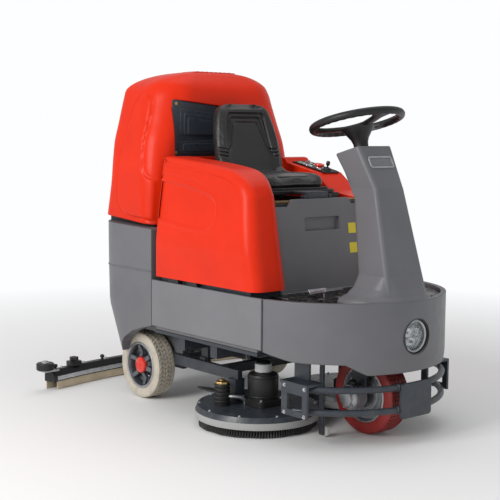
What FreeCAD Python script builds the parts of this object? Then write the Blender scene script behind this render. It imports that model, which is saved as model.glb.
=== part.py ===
import FreeCAD, Part
import os
import Sketcher
from FreeCAD import Vector, Rotation

# Ride-on scrubber dryer. Millimetres, +X forward, +Y left, +Z up, origin on the floor under
# the middle of the bounding box. Every driving size is in the sheet below.

doc = FreeCAD.newDocument("ride_on_scrubber")
sheet = doc.addObject("Spreadsheet::Sheet", "dims")

DRIVING = [
    ("body_half_width", 423), ("seam_rear_x", -205), ("seam_front_x", 472),
    ("panel_low_z", 336), ("panel_high_z", 521), ("seam_gap", 4),
    ("shell_rear_x", -612), ("shell_top_z", 722), ("shell_rise", 14), ("tank_rise", 27),
    ("shell_low_z", 196), ("shell_corner", 140),
    ("nose_centre_x", 406), ("nose_radius", 423), ("nose_low_z", 268), ("deck_z", 500),
    ("column_base_z", 499), ("column_knee_z", 912), ("column_top_z", 1046),
    ("lamp_z", 392), ("lamp_radius", 62),
    ("wheel_r", 138), ("wheel_w", 84), ("wheel_mid_y", 324), ("axle_x", -369), ("axle_r", 14),
    ("drive_x", 612), ("drive_r", 147.5), ("drive_w", 96), ("pivot_r", 30),
    ("brush_x", 250), ("brush_y", 249), ("brush_r", 223), ("skirt_r", 238), ("skirt_low_z", 32),
    ("deck_top_z", 78), ("motor_r", 59), ("motor_top_z", 200),
    ("squeegee_radius", 2178), ("squeegee_centre_x", 1344), ("squeegee_angle", 32),
    ("roller_r", 38), ("roller_y", 622), ("roller_x", -706),
    ("tank_low_z", 734), ("tank_top_z", 1362), ("tank_rear_x", -600), ("tank_front_x", -250),
    ("tank_half_low", 396), ("tank_half_top", 325), ("tank_lean", 19), ("lid_reach", 108),
    ("cover_inner_y", 246), ("cover_low_z", 538), ("cover_rear_x", -177), ("cover_front_x", 435),
    ("cover_rear_top_z", 1012), ("arm_front_z", 905),
    ("seat_half", 180), ("back_half", 168), ("seat_front_x", 205), ("seat_rear_x", -130),
    ("cushion_low_z", 892), ("cushion_top_z", 945), ("back_top_z", 1231), ("panel_half", 240), ("panel_top_z", 858),
    ("panel_front_x", 372), ("wheel_centre_x", 513), ("wheel_centre_z", 1150),
    ("hand_wheel_r", 166), ("hand_rim_r", 14.5), ("bumper_tube_r", 12), ("bumper_path_r", 413),
    ("tube_high_z", 215), ("tube_low_z", 134), ("rail_y", 150), ("rail_low_z", 250),
    ("rail_w", 40), ("rail_h", 60), ("frame_rear_x", -546), ("clearance", 0.05),
    ("guard_x", 552), ("guard_r", 21), ("hinge_r", 5), ("console_z", 992),
]


class Size:
    """A number together with the sheet expression that gives it."""

    def __init__(self, number, text=None):
        self.number = float(number)
        self.text = text if text is not None else repr(float(number))

    def _join(self, other, sign, number):
        other = other if isinstance(other, Size) else Size(other)
        return Size(number(self.number, other.number), "(%s %s %s)" % (self.text, sign, other.text))

    def __add__(self, other):
        return self._join(other, "+", lambda a, b: a + b)

    def __sub__(self, other):
        return self._join(other, "-", lambda a, b: a - b)

    def __mul__(self, other):
        return self._join(other, "*", lambda a, b: a * b)

    def __truediv__(self, other):
        return self._join(other, "/", lambda a, b: a / b)

    def __radd__(self, other):
        return Size(other) + self

    def __rsub__(self, other):
        return Size(other) - self

    def __rmul__(self, other):
        return Size(other) * self

    def __rtruediv__(self, other):
        return Size(other) / self

    def __neg__(self):
        return Size(-1) * self


def as_size(value):
    return value if isinstance(value, Size) else Size(value)


DIM = {}
for row, (name, number) in enumerate(DRIVING, 1):
    sheet.set("A%d" % row, name)
    sheet.set("B%d" % row, str(number))
    sheet.setAlias("B%d" % row, name)
    DIM[name] = Size(number, "dims." + name)
doc.recompute()

PLANES = {"x": "YZ_Plane", "y": "XZ_Plane", "z": "XY_Plane"}
WANTED = []


def keep(obj, label):
    """Mark an object as a finished piece under its own name."""
    obj.Label = label
    WANTED.append(obj)
    return obj


def bind(obj, prop, value):
    obj.setExpression(prop, as_size(value).text)


def new_body(name):
    return doc.addObject("PartDesign::Body", name)


def new_sketch(body, name, across, offset):
    """A sketch across the named axis, the given distance along it."""
    sketch = body.newObject("Sketcher::SketchObject", name)
    plane = [o for o in body.Origin.OriginFeatures if o.Role == PLANES[across]][0]
    sketch.AttachmentSupport = [(plane, "")]
    sketch.MapMode = "FlatFace"
    offset = as_size(offset)
    bind(sketch, "AttachmentOffset.Base.z", -offset if across == "y" else offset)
    return sketch


def pin_point(sketch, geometry, end, point):
    for kind, value in (("DistanceX", as_size(point[0])), ("DistanceY", as_size(point[1]))):
        index = sketch.addConstraint(
            Sketcher.Constraint(kind, -1, 1, geometry, end, value.number))
        sketch.setExpression("Constraints[%d]" % index, value.text)


def polygon(sketch, points):
    """A closed outline of straight lines with every corner held by the sheet."""
    flat = [Vector(as_size(x).number, as_size(y).number, 0) for x, y in points]
    count = len(flat)
    first = sketch.GeometryCount
    for i in range(count):
        sketch.addGeometry(Part.LineSegment(flat[i], flat[(i + 1) % count]), False)
    for i in range(count):
        sketch.addConstraint(Sketcher.Constraint(
            "Coincident", first + i, 2, first + (i + 1) % count, 1))
    for i in range(count):
        pin_point(sketch, first + i, 1, points[i])


def circle(sketch, centre, radius):
    x, y, radius = as_size(centre[0]), as_size(centre[1]), as_size(radius)
    geometry = sketch.addGeometry(
        Part.Circle(Vector(x.number, y.number, 0), Vector(0, 0, 1), radius.number), False)
    pin_point(sketch, geometry, 3, centre)
    index = sketch.addConstraint(Sketcher.Constraint("Radius", geometry, radius.number))
    sketch.setExpression("Constraints[%d]" % index, radius.text)


def d_outline(sketch, rear_x, centre_x, radius):
    """Straight sides running into a half circle at the front."""
    rear, cx, r = as_size(rear_x), as_size(centre_x), as_size(radius)
    a = Vector(rear.number, -r.number, 0)
    b = Vector(cx.number, -r.number, 0)
    c = Vector(cx.number, r.number, 0)
    d = Vector(rear.number, r.number, 0)
    sketch.addGeometry(Part.LineSegment(a, b), False)
    arc = Part.ArcOfCircle(Part.Circle(Vector(cx.number, 0, 0), Vector(0, 0, 1), r.number),
                           -1.5707963267948966, 1.5707963267948966)
    sketch.addGeometry(arc, False)
    sketch.addGeometry(Part.LineSegment(c, d), False)
    sketch.addGeometry(Part.LineSegment(d, a), False)
    for i, end, j, start in ((0, 2, 1, 1), (1, 2, 2, 1), (2, 2, 3, 1), (3, 2, 0, 1)):
        sketch.addConstraint(Sketcher.Constraint("Coincident", i, end, j, start))
    pin_point(sketch, 0, 1, (rear, -r))
    pin_point(sketch, 0, 2, (cx, -r))
    pin_point(sketch, 2, 1, (cx, r))
    pin_point(sketch, 2, 2, (rear, r))
    index = sketch.addConstraint(Sketcher.Constraint("DistanceX", -1, 1, 1, 3, cx.number))
    sketch.setExpression("Constraints[%d]" % index, cx.text)


def rounded_outline(sketch, x0, x1, reach, rear_r, front_r):
    """A rectangle about the middle with its own corner radius at each end."""
    x0, x1, reach = as_size(x0), as_size(x1), as_size(reach)
    spots = ((x1, -reach, front_r, -1, 1), (x1, reach, front_r, -1, -1),
             (x0, reach, rear_r, 1, -1), (x0, -reach, rear_r, 1, 1))
    joins = []
    for index, (x, y, r, dx, dy) in enumerate(spots):
        along, up = (x + dx * r, y), (x, y + dy * r)
        joins.append((along, up) if index % 2 == 0 else (up, along))
    quarter = 1.5707963267948966
    for index in range(4):
        a, b = joins[index - 1][1], joins[index][0]
        sketch.addGeometry(Part.LineSegment(Vector(a[0].number, a[1].number, 0),
                                            Vector(b[0].number, b[1].number, 0)), False)
    for index, (x, y, r, dx, dy) in enumerate(spots):
        centre = Vector(x.number + dx * r, y.number + dy * r, 0)
        begin = -quarter + index * quarter
        sketch.addGeometry(Part.ArcOfCircle(Part.Circle(centre, Vector(0, 0, 1), r), begin,
                                            begin + quarter), False)
    for index in range(4):
        sketch.addConstraint(Sketcher.Constraint("Coincident", index, 2, 4 + index, 1))
        sketch.addConstraint(Sketcher.Constraint("Coincident", 4 + index, 2, (index + 1) % 4, 1))
        pin_point(sketch, index, 1, joins[index - 1][1])
        pin_point(sketch, index, 2, joins[index][0])
        sketch.addConstraint(Sketcher.Constraint("Radius", 4 + index, spots[index][2]))


def loft(body, name, sections):
    """A straight-ruled skin through rounded outlines at rising heights."""
    sketches = []
    for height, x0, x1, reach, rear_r, front_r in sections:
        sketch = new_sketch(body, name + "_ring", "z", height)
        rounded_outline(sketch, x0, x1, reach, rear_r, front_r)
        sketches.append(sketch)
    feature = body.newObject("PartDesign::AdditiveLoft", name)
    feature.Profile = sketches[0]
    feature.Sections = sketches[1:]
    feature.Ruled = True
    doc.recompute()
    return feature


def pad(body, sketch, low, high):
    feature = body.newObject("PartDesign::Pad", body.Name + "_pad")
    feature.Profile = sketch
    bind(feature, "Length", as_size(high) - as_size(low))
    doc.recompute()
    return feature


def prism(body, across, points, low, high):
    """Add a straight-sided solid between two distances along an axis."""
    sketch = new_sketch(body, body.Name + "_outline", across, high if across == "y" else low)
    polygon(sketch, points)
    return pad(body, sketch, low, high)


def cut(body, across, draw, low, high):
    """Pocket an outline between two distances along an axis."""
    start = low if across == "y" else high
    sketch = new_sketch(body, body.Name + "_cut", across, start)
    draw(sketch)
    feature = body.newObject("PartDesign::Pocket", body.Name + "_pocket")
    feature.Profile = sketch
    bind(feature, "Length", as_size(high) - as_size(low))
    doc.recompute()
    return feature


def cut_prism(body, across, points, low, high):
    return cut(body, across, lambda sketch: polygon(sketch, points), low, high)


def cut_round(body, across, centre, radius, low, high):
    return cut(body, across, lambda sketch: circle(sketch, centre, radius), low, high)


def box_points(a0, a1, b0, b1):
    return [(a0, b0), (a1, b0), (a1, b1), (a0, b1)]


def block(body, x0, x1, y0, y1, z0, z1):
    return prism(body, "z", box_points(x0, x1, y0, y1), z0, z1)


def fillet(body, radius, test):
    """Round every edge of the piece so far that the test accepts."""
    base = body.Tip
    names = ["Edge%d" % (i + 1) for i, edge in enumerate(base.Shape.Edges) if test(edge)]
    feature = body.newObject("PartDesign::Fillet", body.Name + "_fillet")
    feature.Base = (base, names)
    bind(feature, "Radius", radius)
    doc.recompute()
    if feature.Shape.isNull() or not feature.Shape.isValid() or "Invalid" in feature.State:
        raise RuntimeError("fillet failed on %s with %d edges" % (body.Name, len(names)))
    return feature


def ends(edge):
    return [v.Point for v in edge.Vertexes]


def runs(edge, axis):
    """True when a straight edge runs mostly along the axis."""
    pts = ends(edge)
    if len(pts) != 2:
        return False
    step = pts[1] - pts[0]
    return abs(getattr(step, axis)) > 0.8 * step.Length


def mid(edge):
    pts = ends(edge)
    return (pts[0] + pts[-1]) * 0.5


def turned(body, points, centre, turn=None, angle=None):
    """A revolved solid about its own Z axis, then placed."""
    sketch = new_sketch(body, body.Name + "_profile", "y", 0)
    polygon(sketch, points)
    feature = body.newObject("PartDesign::Revolution", body.Name + "_turn")
    feature.Profile = sketch
    feature.ReferenceAxis = (sketch, ["V_Axis"])
    if angle is None:
        feature.Angle = 360
    else:
        feature.Midplane = True
        bind(feature, "Angle", angle)
    place(body, centre, turn)
    doc.recompute()
    return feature


def place(obj, centre, turn=None):
    if turn is not None:
        obj.Placement = FreeCAD.Placement(Vector(0, 0, 0), turn)
    for axis, value in zip("xyz", centre):
        bind(obj, "Placement.Base." + axis, value)


def cylinder(name, radius, height, centre, turn=None):
    obj = doc.addObject("Part::Cylinder", name)
    bind(obj, "Radius", radius)
    bind(obj, "Height", height)
    place(obj, centre, turn)
    return obj


def cuboid(name, x0, x1, y0, y1, z0, z1):
    obj = doc.addObject("Part::Box", name)
    bind(obj, "Length", as_size(x1) - as_size(x0))
    bind(obj, "Width", as_size(y1) - as_size(y0))
    bind(obj, "Height", as_size(z1) - as_size(z0))
    place(obj, (x0, y0, z0))
    return obj


def torus(name, path_radius, tube_radius, centre, turn=None, sweep=360):
    obj = doc.addObject("Part::Torus", name)
    bind(obj, "Radius1", path_radius)
    bind(obj, "Radius2", tube_radius)
    obj.Angle3 = sweep
    place(obj, centre, turn)
    return obj


def fuse(name, pieces):
    obj = doc.addObject("Part::MultiFuse", name)
    obj.Shapes = pieces
    obj.Refine = True
    doc.recompute()
    return obj


def subtract(name, base, tool):
    obj = doc.addObject("Part::Cut", name)
    obj.Base = base
    obj.Tool = tool
    doc.recompute()
    return obj


def side_span(side, inner, outer):
    """Low and high y of a piece between two distances from the middle."""
    inner, outer = as_size(inner), as_size(outer)
    return (inner, outer) if side > 0 else (-outer, -inner)


Y_TURN = Rotation(Vector(1, 0, 0), -90)
SIDES = (("right", -1), ("left", 1))
D = DIM
half = D["body_half_width"]

# ---------------------------------------------------------------- frame and axle
def make_chassis():
    rails = []
    low, high = D["rail_low_z"], D["rail_low_z"] + D["rail_h"]
    for label, side in SIDES:
        y0, y1 = side_span(side, D["rail_y"], D["rail_y"] + D["rail_w"])
        rails.append(cuboid("rail_" + label, D["frame_rear_x"], 430, y0, y1, low, high))
        y0, y1 = side_span(side, D["rail_y"] + 5, D["rail_y"] + 25)
        rails.append(cuboid("axle_plate_" + label, D["axle_x"] - 45, D["axle_x"] + 45,
                            y0, y1, D["wheel_r"] - 35, low + 10))
        y0, y1 = side_span(side, D["rail_y"], D["rail_y"] + D["rail_w"])
        rails.append(cuboid("shell_rest_" + label, -500, -300, y0, y1, high - 2, high + 20))
        y0, y1 = side_span(side, 270, 286)
        rails.append(cuboid("post_" + label, -52, -12, y0, y1, 196, low + 50))
        y0, y1 = side_span(side, 130, 322)
        rails.append(cuboid("outrigger_" + label, 440, 575, y0, y1, 322, 334))
        y0, y1 = side_span(side, 194, 202)
        rails.append(cuboid("guard_arm_" + label, 542, 562, y0, y1, 10, 326))
        rails.append(cylinder("guard_pin_" + label, 5, 34, (D["guard_x"], side * 184 - 17, D["guard_r"]),
                              Y_TURN))
        y0, y1 = side_span(side, 300, half - 7)
        rails.append(cuboid("sill_" + label, -190, 440, y0, y1, high - 2, high + 10))
    for index, (x0, x1, reach) in enumerate(((-546, -506, 190), (-52, -12, 400),
                                             (150, 190, 400), (390, 430, 190))):
        rails.append(cuboid("cross_%d" % index, x0, x1, -reach, reach, low + 8, high))
    rails.append(cuboid("head_plate", 380, D["drive_x"] + 90, -140, 140, 322, 334))
    rails.append(cuboid("head_web", 384, 428, -140, 140, low + 50, 330))
    rails.append(cylinder("head_tube", D["pivot_r"] + 16, 86, (D["drive_x"], 0, 322)))
    rails.append(cuboid("panel_foot", 340, 430, -200, 200, high - 2, 334))
    rails.append(cuboid("lug_right", -600, -540, -86, -74, 190, 300))
    rails.append(cuboid("lug_left", -600, -540, 74, 86, 190, 300))
    rails.append(cuboid("lug_web", -560, -540, -86, 86, 240, 300))
    body = fuse("chassis_solid", rails)
    bore = cylinder("head_bore", D["pivot_r"] + D["clearance"], 200, (D["drive_x"], 0, 270))
    hole = cylinder("axle_bore", D["axle_r"], 500, (D["axle_x"], -250, D["wheel_r"]), Y_TURN)
    pin = cylinder("lug_bore", 9 + D["clearance"], 200, (-580, -100, 212), Y_TURN)
    tools = fuse("chassis_bores", [bore, hole, pin])
    keep(subtract("chassis_cut", body, tools), "chassis_frame")


def make_axle():
    reach = D["wheel_mid_y"] + D["wheel_w"] * 0.5 - 12
    bar = cylinder("axle_bar", D["axle_r"], 2 * reach, (D["axle_x"], -reach, D["wheel_r"]), Y_TURN)
    keep(bar, "rear_axle")


def make_wheel(label, side):
    spot = (D["axle_x"], side * D["wheel_mid_y"], D["wheel_r"])
    w, r = D["wheel_w"] * 0.5, D["wheel_r"]
    turn = Rotation(Vector(1, 0, 0), -90 * side)
    tyre = new_body("tyre_" + label)
    turned(tyre, [(96, -w + 3), (r - 10, -w), (r - 1, -w + 12), (r, -w + 22), (r, w - 22),
                  (r - 1, w - 12), (r - 10, w), (96, w - 3)], spot, turn)
    keep(tyre, "rear_tyre_" + label)
    rim = new_body("rim_" + label)
    bore = D["axle_r"] + D["clearance"]
    turned(rim, [(bore, -w + 10), (34, -w + 10), (34, -8), (78, -8), (80, -w + 5), (96, -w + 5),
                 (96, w - 4), (84, w - 4), (80, 6), (36, 14), (34, w - 6), (26, w + 2), (12, w + 6),
             (0, w + 6), (0, w - 8), (bore, w - 8)], spot, turn)
    keep(rim, "rear_rim_" + label)


# ---------------------------------------------------------------- grey bodywork
def make_rear_shell():
    body = new_body("rear_shell")
    rear, seam = D["shell_rear_x"], D["seam_rear_x"]
    low, top = D["shell_low_z"], D["shell_top_z"]
    prism(body, "y", [(rear + 2, 554), (rear + 8, 380), (rear + 18, 360), (rear + 66, low + 60),
                      (rear + 118, low), (seam - 8, low), (seam, 345), (seam, top),
                      (rear, top + D["shell_rise"])], -half, half)
    fillet(body, D["shell_corner"], lambda e: e.BoundBox.XMax < -400 and e.BoundBox.ZLength > 60
           and runs(e, "z") and abs(abs(mid(e).y) - half.number) < 1)
    arch_r = D["wheel_r"] + 26
    axle = D["axle_x"]
    for label, side in SIDES:
        y0, y1 = side_span(side, D["wheel_mid_y"] - D["wheel_w"] * 0.5 - 22,
                           D["wheel_mid_y"] + D["wheel_w"] * 0.5 + 9)
        cut_round(body, "y", (axle, D["wheel_r"]), arch_r, y0, y1)
        cut_prism(body, "y", box_points(axle - 10, seam + 20, 100, D["wheel_r"] + 162), y0, y1)
        # The skin's own edge climbs forward from behind the tyre to the seam.
        y0, y1 = side_span(side, D["wheel_mid_y"] + D["wheel_w"] * 0.5 + 8, half + 20)
        cut_prism(body, "y", [(axle - 66, low - 30), (axle - 65, low + 10), (axle - 54, low + 40),
                              (axle - 27, low + 66), (axle + 29, low + 98),
                              (axle + 97, low + 119), (seam + 20, low + 142),
                              (seam + 20, low - 30)], y0, y1)
    inner = half - 190
    cut_prism(body, "y", box_points(rear + 60, seam + 20, low - 20, D["rail_low_z"] + 80),
              -inner, inner)
    cut_prism(body, "y", box_points(rear + 60, seam + 20, 320 + 50, top - 30),
              -(half - 50), half - 50)
    cut_prism(body, "y", box_points(rear - 30, rear + 70, low - 20, 318), -104, 104)
    keep(body, "rear_body_shell")


def make_side_panel(label, side):
    body = new_body("panel_" + label)
    y0, y1 = side_span(side, half - 14, half)
    gap = D["seam_gap"]
    prism(body, "y", [(D["seam_rear_x"] + gap, D["panel_low_z"]),
                      (D["seam_front_x"] - gap, D["panel_low_z"]),
                      (D["seam_front_x"] - gap, D["panel_high_z"]),
                      (D["seam_rear_x"] + gap, D["panel_high_z"])], y0, y1)
    y0, y1 = side_span(side, half - 60, half - 14)
    prism(body, "y", box_points(D["seam_rear_x"] + 14, D["seam_front_x"] - 40, 320, 332 + 16),
          y0, y1)
    keep(body, "side_panel_" + label)


def make_front_body():
    body = new_body("front_tub")
    r = D["nose_radius"]
    seam, high, cx = D["seam_front_x"], D["panel_high_z"], D["nose_centre_x"]
    sketch = new_sketch(body, "front_outline", "z", D["nose_low_z"])
    d_outline(sketch, 300, cx, r)
    pad(body, sketch, D["nose_low_z"], high)
    cut_prism(body, "z", box_points(280, seam, -500, 500), 200, 600)
    cut_prism(body, "y", [(seam - 5, 240), (seam - 5, 332), (seam + 120, 308), (cx + 330, 306),
                          (cx + 378, D["nose_low_z"] - 4), (cx + 378, 240)], -500, 500)
    cut(body, "z", lambda s: d_outline(s, seam - 40, cx, r - 22), 200, D["deck_z"] - 26)
    cut(body, "z", lambda s: d_outline(s, seam - 60, cx, r - 20), D["deck_z"], 560)
    # The steering column cowl stands on the deck and leans back.
    low, knee, head = D["column_base_z"] - 4, D["column_knee_z"], D["column_top_z"]
    prism(body, "y", [(640, low), (796, low), (687, knee), (606, head + 18), (484, head - 14),
                      (572, knee - 18)], -104, 104)
    for side in (-1, 1):
        cut_prism(body, "x", [(side * 104, high), (side * 170, high), (side * 170, head + 60),
                              (side * 90, head + 60), (side * 88, head), (side * 76, knee)],
                  470, 810)
    cut_round(body, "x", (0, D["lamp_z"]), D["lamp_radius"] + 0.3, 780, 860)
    fillet(body, 15, lambda e: runs(e, "z") and e.BoundBox.ZMin > high.number - 6
           and e.BoundBox.ZLength > 50 and abs(mid(e).y) < 110)
    fillet(body, 5, lambda e: mid(e).z > 1020 and e.BoundBox.ZMin > 1010)
    # The foot of the cowl flares out and runs into the nose all round.
    deck = D["deck_z"]
    loft(body, "cowl_foot", [
        (deck - 4, 604, cx + r - 8, 196, 24, 172),
        (deck + 20, 604, cx + r - 11, 188, 24, 168),
        (deck + 34, 608, cx + r - 24, 150, 24, 120),
        (deck + 58, 614, cx + r - 40, 122, 24, 70),
        (deck + 104, 624, 768, 100, 16, 26)])
    lens = doc.addObject("Part::Cut", "front_bored")
    lens.Base = body
    lens.Tool = steering_axis_cylinder("shaft_clear", 14 + D["clearance"], 260, -203)
    doc.recompute()
    keep(lens, "front_body")


TILT = 15.0
TILT_TURN = Rotation(Vector(0, 1, 0), -TILT)
TILT_SIN, TILT_COS = 0.258819045, 0.965925826


def axis_spot(along):
    """A point on the steering axis, measured up from the hand wheel's middle."""
    return (D["wheel_centre_x"] - TILT_SIN * as_size(along), 0,
            D["wheel_centre_z"] + TILT_COS * as_size(along))


def steering_axis_cylinder(name, radius, height, start):
    return cylinder(name, radius, height, axis_spot(start), TILT_TURN)


def make_steering():
    rim = torus("hand_rim", D["hand_wheel_r"], D["hand_rim_r"], axis_spot(0), TILT_TURN)
    cone = doc.addObject("Part::Cone", "hand_cone")
    cone.Radius1, cone.Radius2, cone.Height = 27, 62, 60
    place(cone, axis_spot(-78), TILT_TURN)
    boss = steering_axis_cylinder("hand_boss", 27, 30.5, -106.5)
    shaft = steering_axis_cylinder("hand_shaft", 14, 95.5, -202)
    pieces = [rim, cone, boss]
    for index, angle in enumerate((110, 230, 350)):
        spoke = doc.addObject("Part::Box", "hand_spoke_%d" % index)
        bind(spoke, "Length", D["hand_wheel_r"] - 18)
        spoke.Width = 52
        spoke.Height = 12
        turn = TILT_TURN.multiply(Rotation(Vector(0, 0, 1), angle))
        shift = turn.multVec(Vector(20, -26, -24))
        spoke.Placement = FreeCAD.Placement(Vector(0, 0, 0), turn)
        bind(spoke, "Placement.Base.x", D["wheel_centre_x"] + shift.x)
        bind(spoke, "Placement.Base.y", shift.y)
        bind(spoke, "Placement.Base.z", D["wheel_centre_z"] + shift.z)
        pieces.append(spoke)
    keep(fuse("hand_wheel", pieces), "steering_wheel")
    keep(shaft, "steering_shaft")


def make_front_trim():
    mat = new_body("mat")
    r = D["nose_radius"]
    sketch = new_sketch(mat, "mat_outline", "z", D["deck_z"])
    d_outline(sketch, 384, D["nose_centre_x"], r - 24)
    pad(mat, sketch, D["deck_z"], D["deck_z"] + 9)
    cut_prism(mat, "z", box_points(590, 830, -200, 200), 480, 540)
    cut_prism(mat, "z", box_points(380, D["seam_front_x"] + 3, -500, -300), 480, 540)
    cut_prism(mat, "z", box_points(380, D["seam_front_x"] + 3, 300, 500), 480, 540)
    keep(mat, "footwell_mat")

    lamp = new_body("lamp")
    s, z = D["lamp_radius"], D["lamp_z"]
    x_turn = Rotation(Vector(0, 1, 0), 90)
    turned(lamp, [(0, 0), (s, 0), (s, 42), (s - 6, 42), (s - 9, 22), (0, 22)], (774, 0, z), x_turn)
    keep(lamp, "headlamp_housing")
    lens = new_body("lens")
    turned(lens, [(0, 22), (s - 9.2, 22), (s - 8, 33), (s - 28, 40), (0, 43)], (774, 0, z), x_turn)
    keep(lens, "headlamp_lens")

    badge = new_body("badge")
    knee, head = D["column_knee_z"], D["column_top_z"]
    slope = (687 - 606) / (head + 18 - knee)
    low, high = knee + 72, knee + 113
    x_low, x_high = 687 - (low - knee) * slope, 687 - (high - knee) * slope
    prism(badge, "y", [(x_low, low), (x_low + 2, low + 1), (x_high + 2, high + 1), (x_high, high)],
          -62, 62)
    keep(badge, "column_badge")


def make_pedal():
    plate = new_body("pedal_plate")
    prism(plate, "y", [(478, 524), (484, 519), (566, 540), (562, 546)], -200, -110)
    prism(plate, "y", [(541, 518), (551, 518), (552, 540), (540, 536)], -190, -120)
    pin = cylinder("pedal_pin", 3, 76, (546, -193, D["deck_z"] + 15), Y_TURN)
    web = cuboid("pedal_web", 543, 549, -190, -120, D["deck_z"] + 14, 520)
    keep(fuse("pedal_all", [plate, pin, web]), "accelerator_pedal")
    base = new_body("pedal_base")
    block(base, 534, 558, -205, -105, D["deck_z"] + 9, D["deck_z"] + 11.5)
    keep(base, "pedal_base")


# ---------------------------------------------------------------- red bodywork
def make_tank():
    body = new_body("tank")
    low, top = D["tank_low_z"], D["tank_top_z"]
    rear, front = D["tank_rear_x"], D["tank_front_x"]
    lo, hi = D["tank_half_low"], D["tank_half_top"]
    lean = D["tank_lean"]
    loft(body, "tank_skin", [
        (low, rear, front, lo, 56, 60),
        (top - 432, rear + lean, front, lo - 10, 58, 76),
        (top - 308, rear + lean, front, lo - 21, 60, 100),
        (top - 208, rear + lean, front, hi + 25, 60, 128),
        (top - 115, rear + lean, front - 2, hi, 58, 146),
        (top - 80, rear + lean + 5, front - 6, hi - 13, 48, 146),
        (top - 56, rear + lean + 26, front - 16, hi - 32, 42, 128),
        (top - 28, rear + lean + 74, front - 38, hi - 82, 36, 100),
        (top - 12, rear + lean + 116, front - 54, hi - 140, 32, 76),
        (top - 4, rear + lean + 146, front - 70, hi - 195, 28, 54)])
    cut_prism(body, "y", [(rear - 60, low - 30), (front + 60, low - 30), (front + 60, low),
                          (front, low), (rear, low + D["tank_rise"]),
                          (rear - 60, low + D["tank_rise"] + 4)], -lo - 40, lo + 40)
    # Window recess in the forward face with a stepped upper edge.
    cut_prism(body, "x", [(-272, 1008), (150, 1008), (150, 1160), (10, 1160), (10, 1216),
                          (-272, 1242)], front - 24, front + 20)
    keep(body, "recovery_tank")

    panel = new_body("window_panel")
    prism(panel, "x", [(-270, 1010), (148, 1010), (148, 1158), (8, 1158), (8, 1214),
                       (-270, 1240)], front - 24, front - 12)
    keep(panel, "tank_window_panel")
    lid = new_body("lid_plate")
    block(lid, rear + D["tank_lean"] + 150, front - 74, -D["lid_reach"], D["lid_reach"], top - 4, top)
    fillet(lid, 14, lambda e: runs(e, "z"))
    keep(lid, "tank_lid")


def make_gasket():
    """Soft seal filling the wedge between the rear shell and the tank above it."""
    body = new_body("gasket")
    rear, seam = D["shell_rear_x"], D["seam_rear_x"]
    front, span = D["tank_front_x"], D["seam_rear_x"] - D["shell_rear_x"]
    shell_top, low = D["shell_top_z"], D["tank_low_z"]
    slope = D["shell_rise"] / span
    tank_slope = D["tank_rise"] / (front - D["tank_rear_x"])
    a, b = rear + 22, front - 20
    prism(body, "y", [(a, shell_top + (seam - a) * slope), (b, shell_top + (seam - b) * slope),
                      (b, low + (front - b) * tank_slope), (a, low + (front - a) * tank_slope)],
          -360, 360)
    keep(body, "tank_seat_gasket")


def make_right_cover():
    body = new_body("right_cover")
    rear, front = D["cover_rear_x"], D["cover_front_x"]
    low, high = D["cover_low_z"], D["cover_rear_top_z"]
    inner = D["cover_inner_y"]
    arm = D["arm_front_z"]
    prism(body, "y", [(rear, low), (front, low), (front - 66, arm - 18), (front - 96, arm + 20),
                      (front - 180, arm + 62), (front - 375, high - 20), (rear, high)],
          -half, -inner)
    cut_prism(body, "x", [(-half, low + 150), (-half - 60, low + 150), (-half - 60, high + 60),
                          (-half + 46, high + 60), (-half + 40, high - 20)], -300, 500)
    fillet(body, 84, lambda e: mid(e).x > 380 and mid(e).y < -400 and runs(e, "z"))
    fillet(body, 34, lambda e: mid(e).y < -330 and mid(e).z > 860 and not runs(e, "z")
           and e.BoundBox.YLength < 60 and e.BoundBox.ZMin > arm.number - 24)
    cut_prism(body, "y", [(rear - 10, low + 214), (140, low + 214), (172, low + 240),
                          (172, low + 304), (140, low + 330), (rear - 10, low + 356)],
              -half - 20, -half + 12)
    hollow_under(body, -half + 26, -inner - 22, rear + 24, front - 110, low, 860)
    keep(body, "right_side_cover")


def hollow_under(body, y0, y1, x0, x1, low, high):
    cut_prism(body, "y", box_points(x0, x1, low - 10, high), y0, y1)


def make_left_cover():
    body = new_body("left_cover")
    rear, front = D["cover_rear_x"], D["cover_front_x"]
    low = D["cover_low_z"]
    inner = D["cover_inner_y"]
    console = D["console_z"]
    prism(body, "y", [(rear, low), (front, low), (front - 66, 820), (front - 100, 848),
                      (240, 856), (126, 872), (44, console - 50), (rear + 34, console - 10.6),
                      (rear + 18, console + 8), (rear, console + 12)],
          inner, half)
    cut_prism(body, "x", [(half, low + 150), (half + 60, low + 150), (half + 60, 1060),
                          (half - 46, 1060), (half - 40, 980)], -300, 500)
    fillet(body, 84, lambda e: mid(e).x > 380 and mid(e).y > 400 and runs(e, "z"))
    # Well under the control panel for the switch stems and the lever's lower end.
    well = []
    for along, deep in ((8, 4), (186, 4), (186, -16), (8, -16)):
        shift = CONSOLE_TURN.multVec(Vector(along, 0, deep))
        well.append((CONSOLE_X + shift.x, console - 11.2 + shift.z))
    cut_prism(body, "y", well, inner + 40, inner + 116)
    hollow_under(body, inner + 22, half - 26, rear + 24, front - 110, low, 790)
    keep(body, "left_side_cover")


BUTTONS = ((26, 24, 11.0), (26, 66, 11.0), (70, 24, 11.0), (118, 46, 15.0))
CONSOLE_TURN = Rotation(Vector(0, 1, 0), 11.88)
CONSOLE_X = -140


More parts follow.
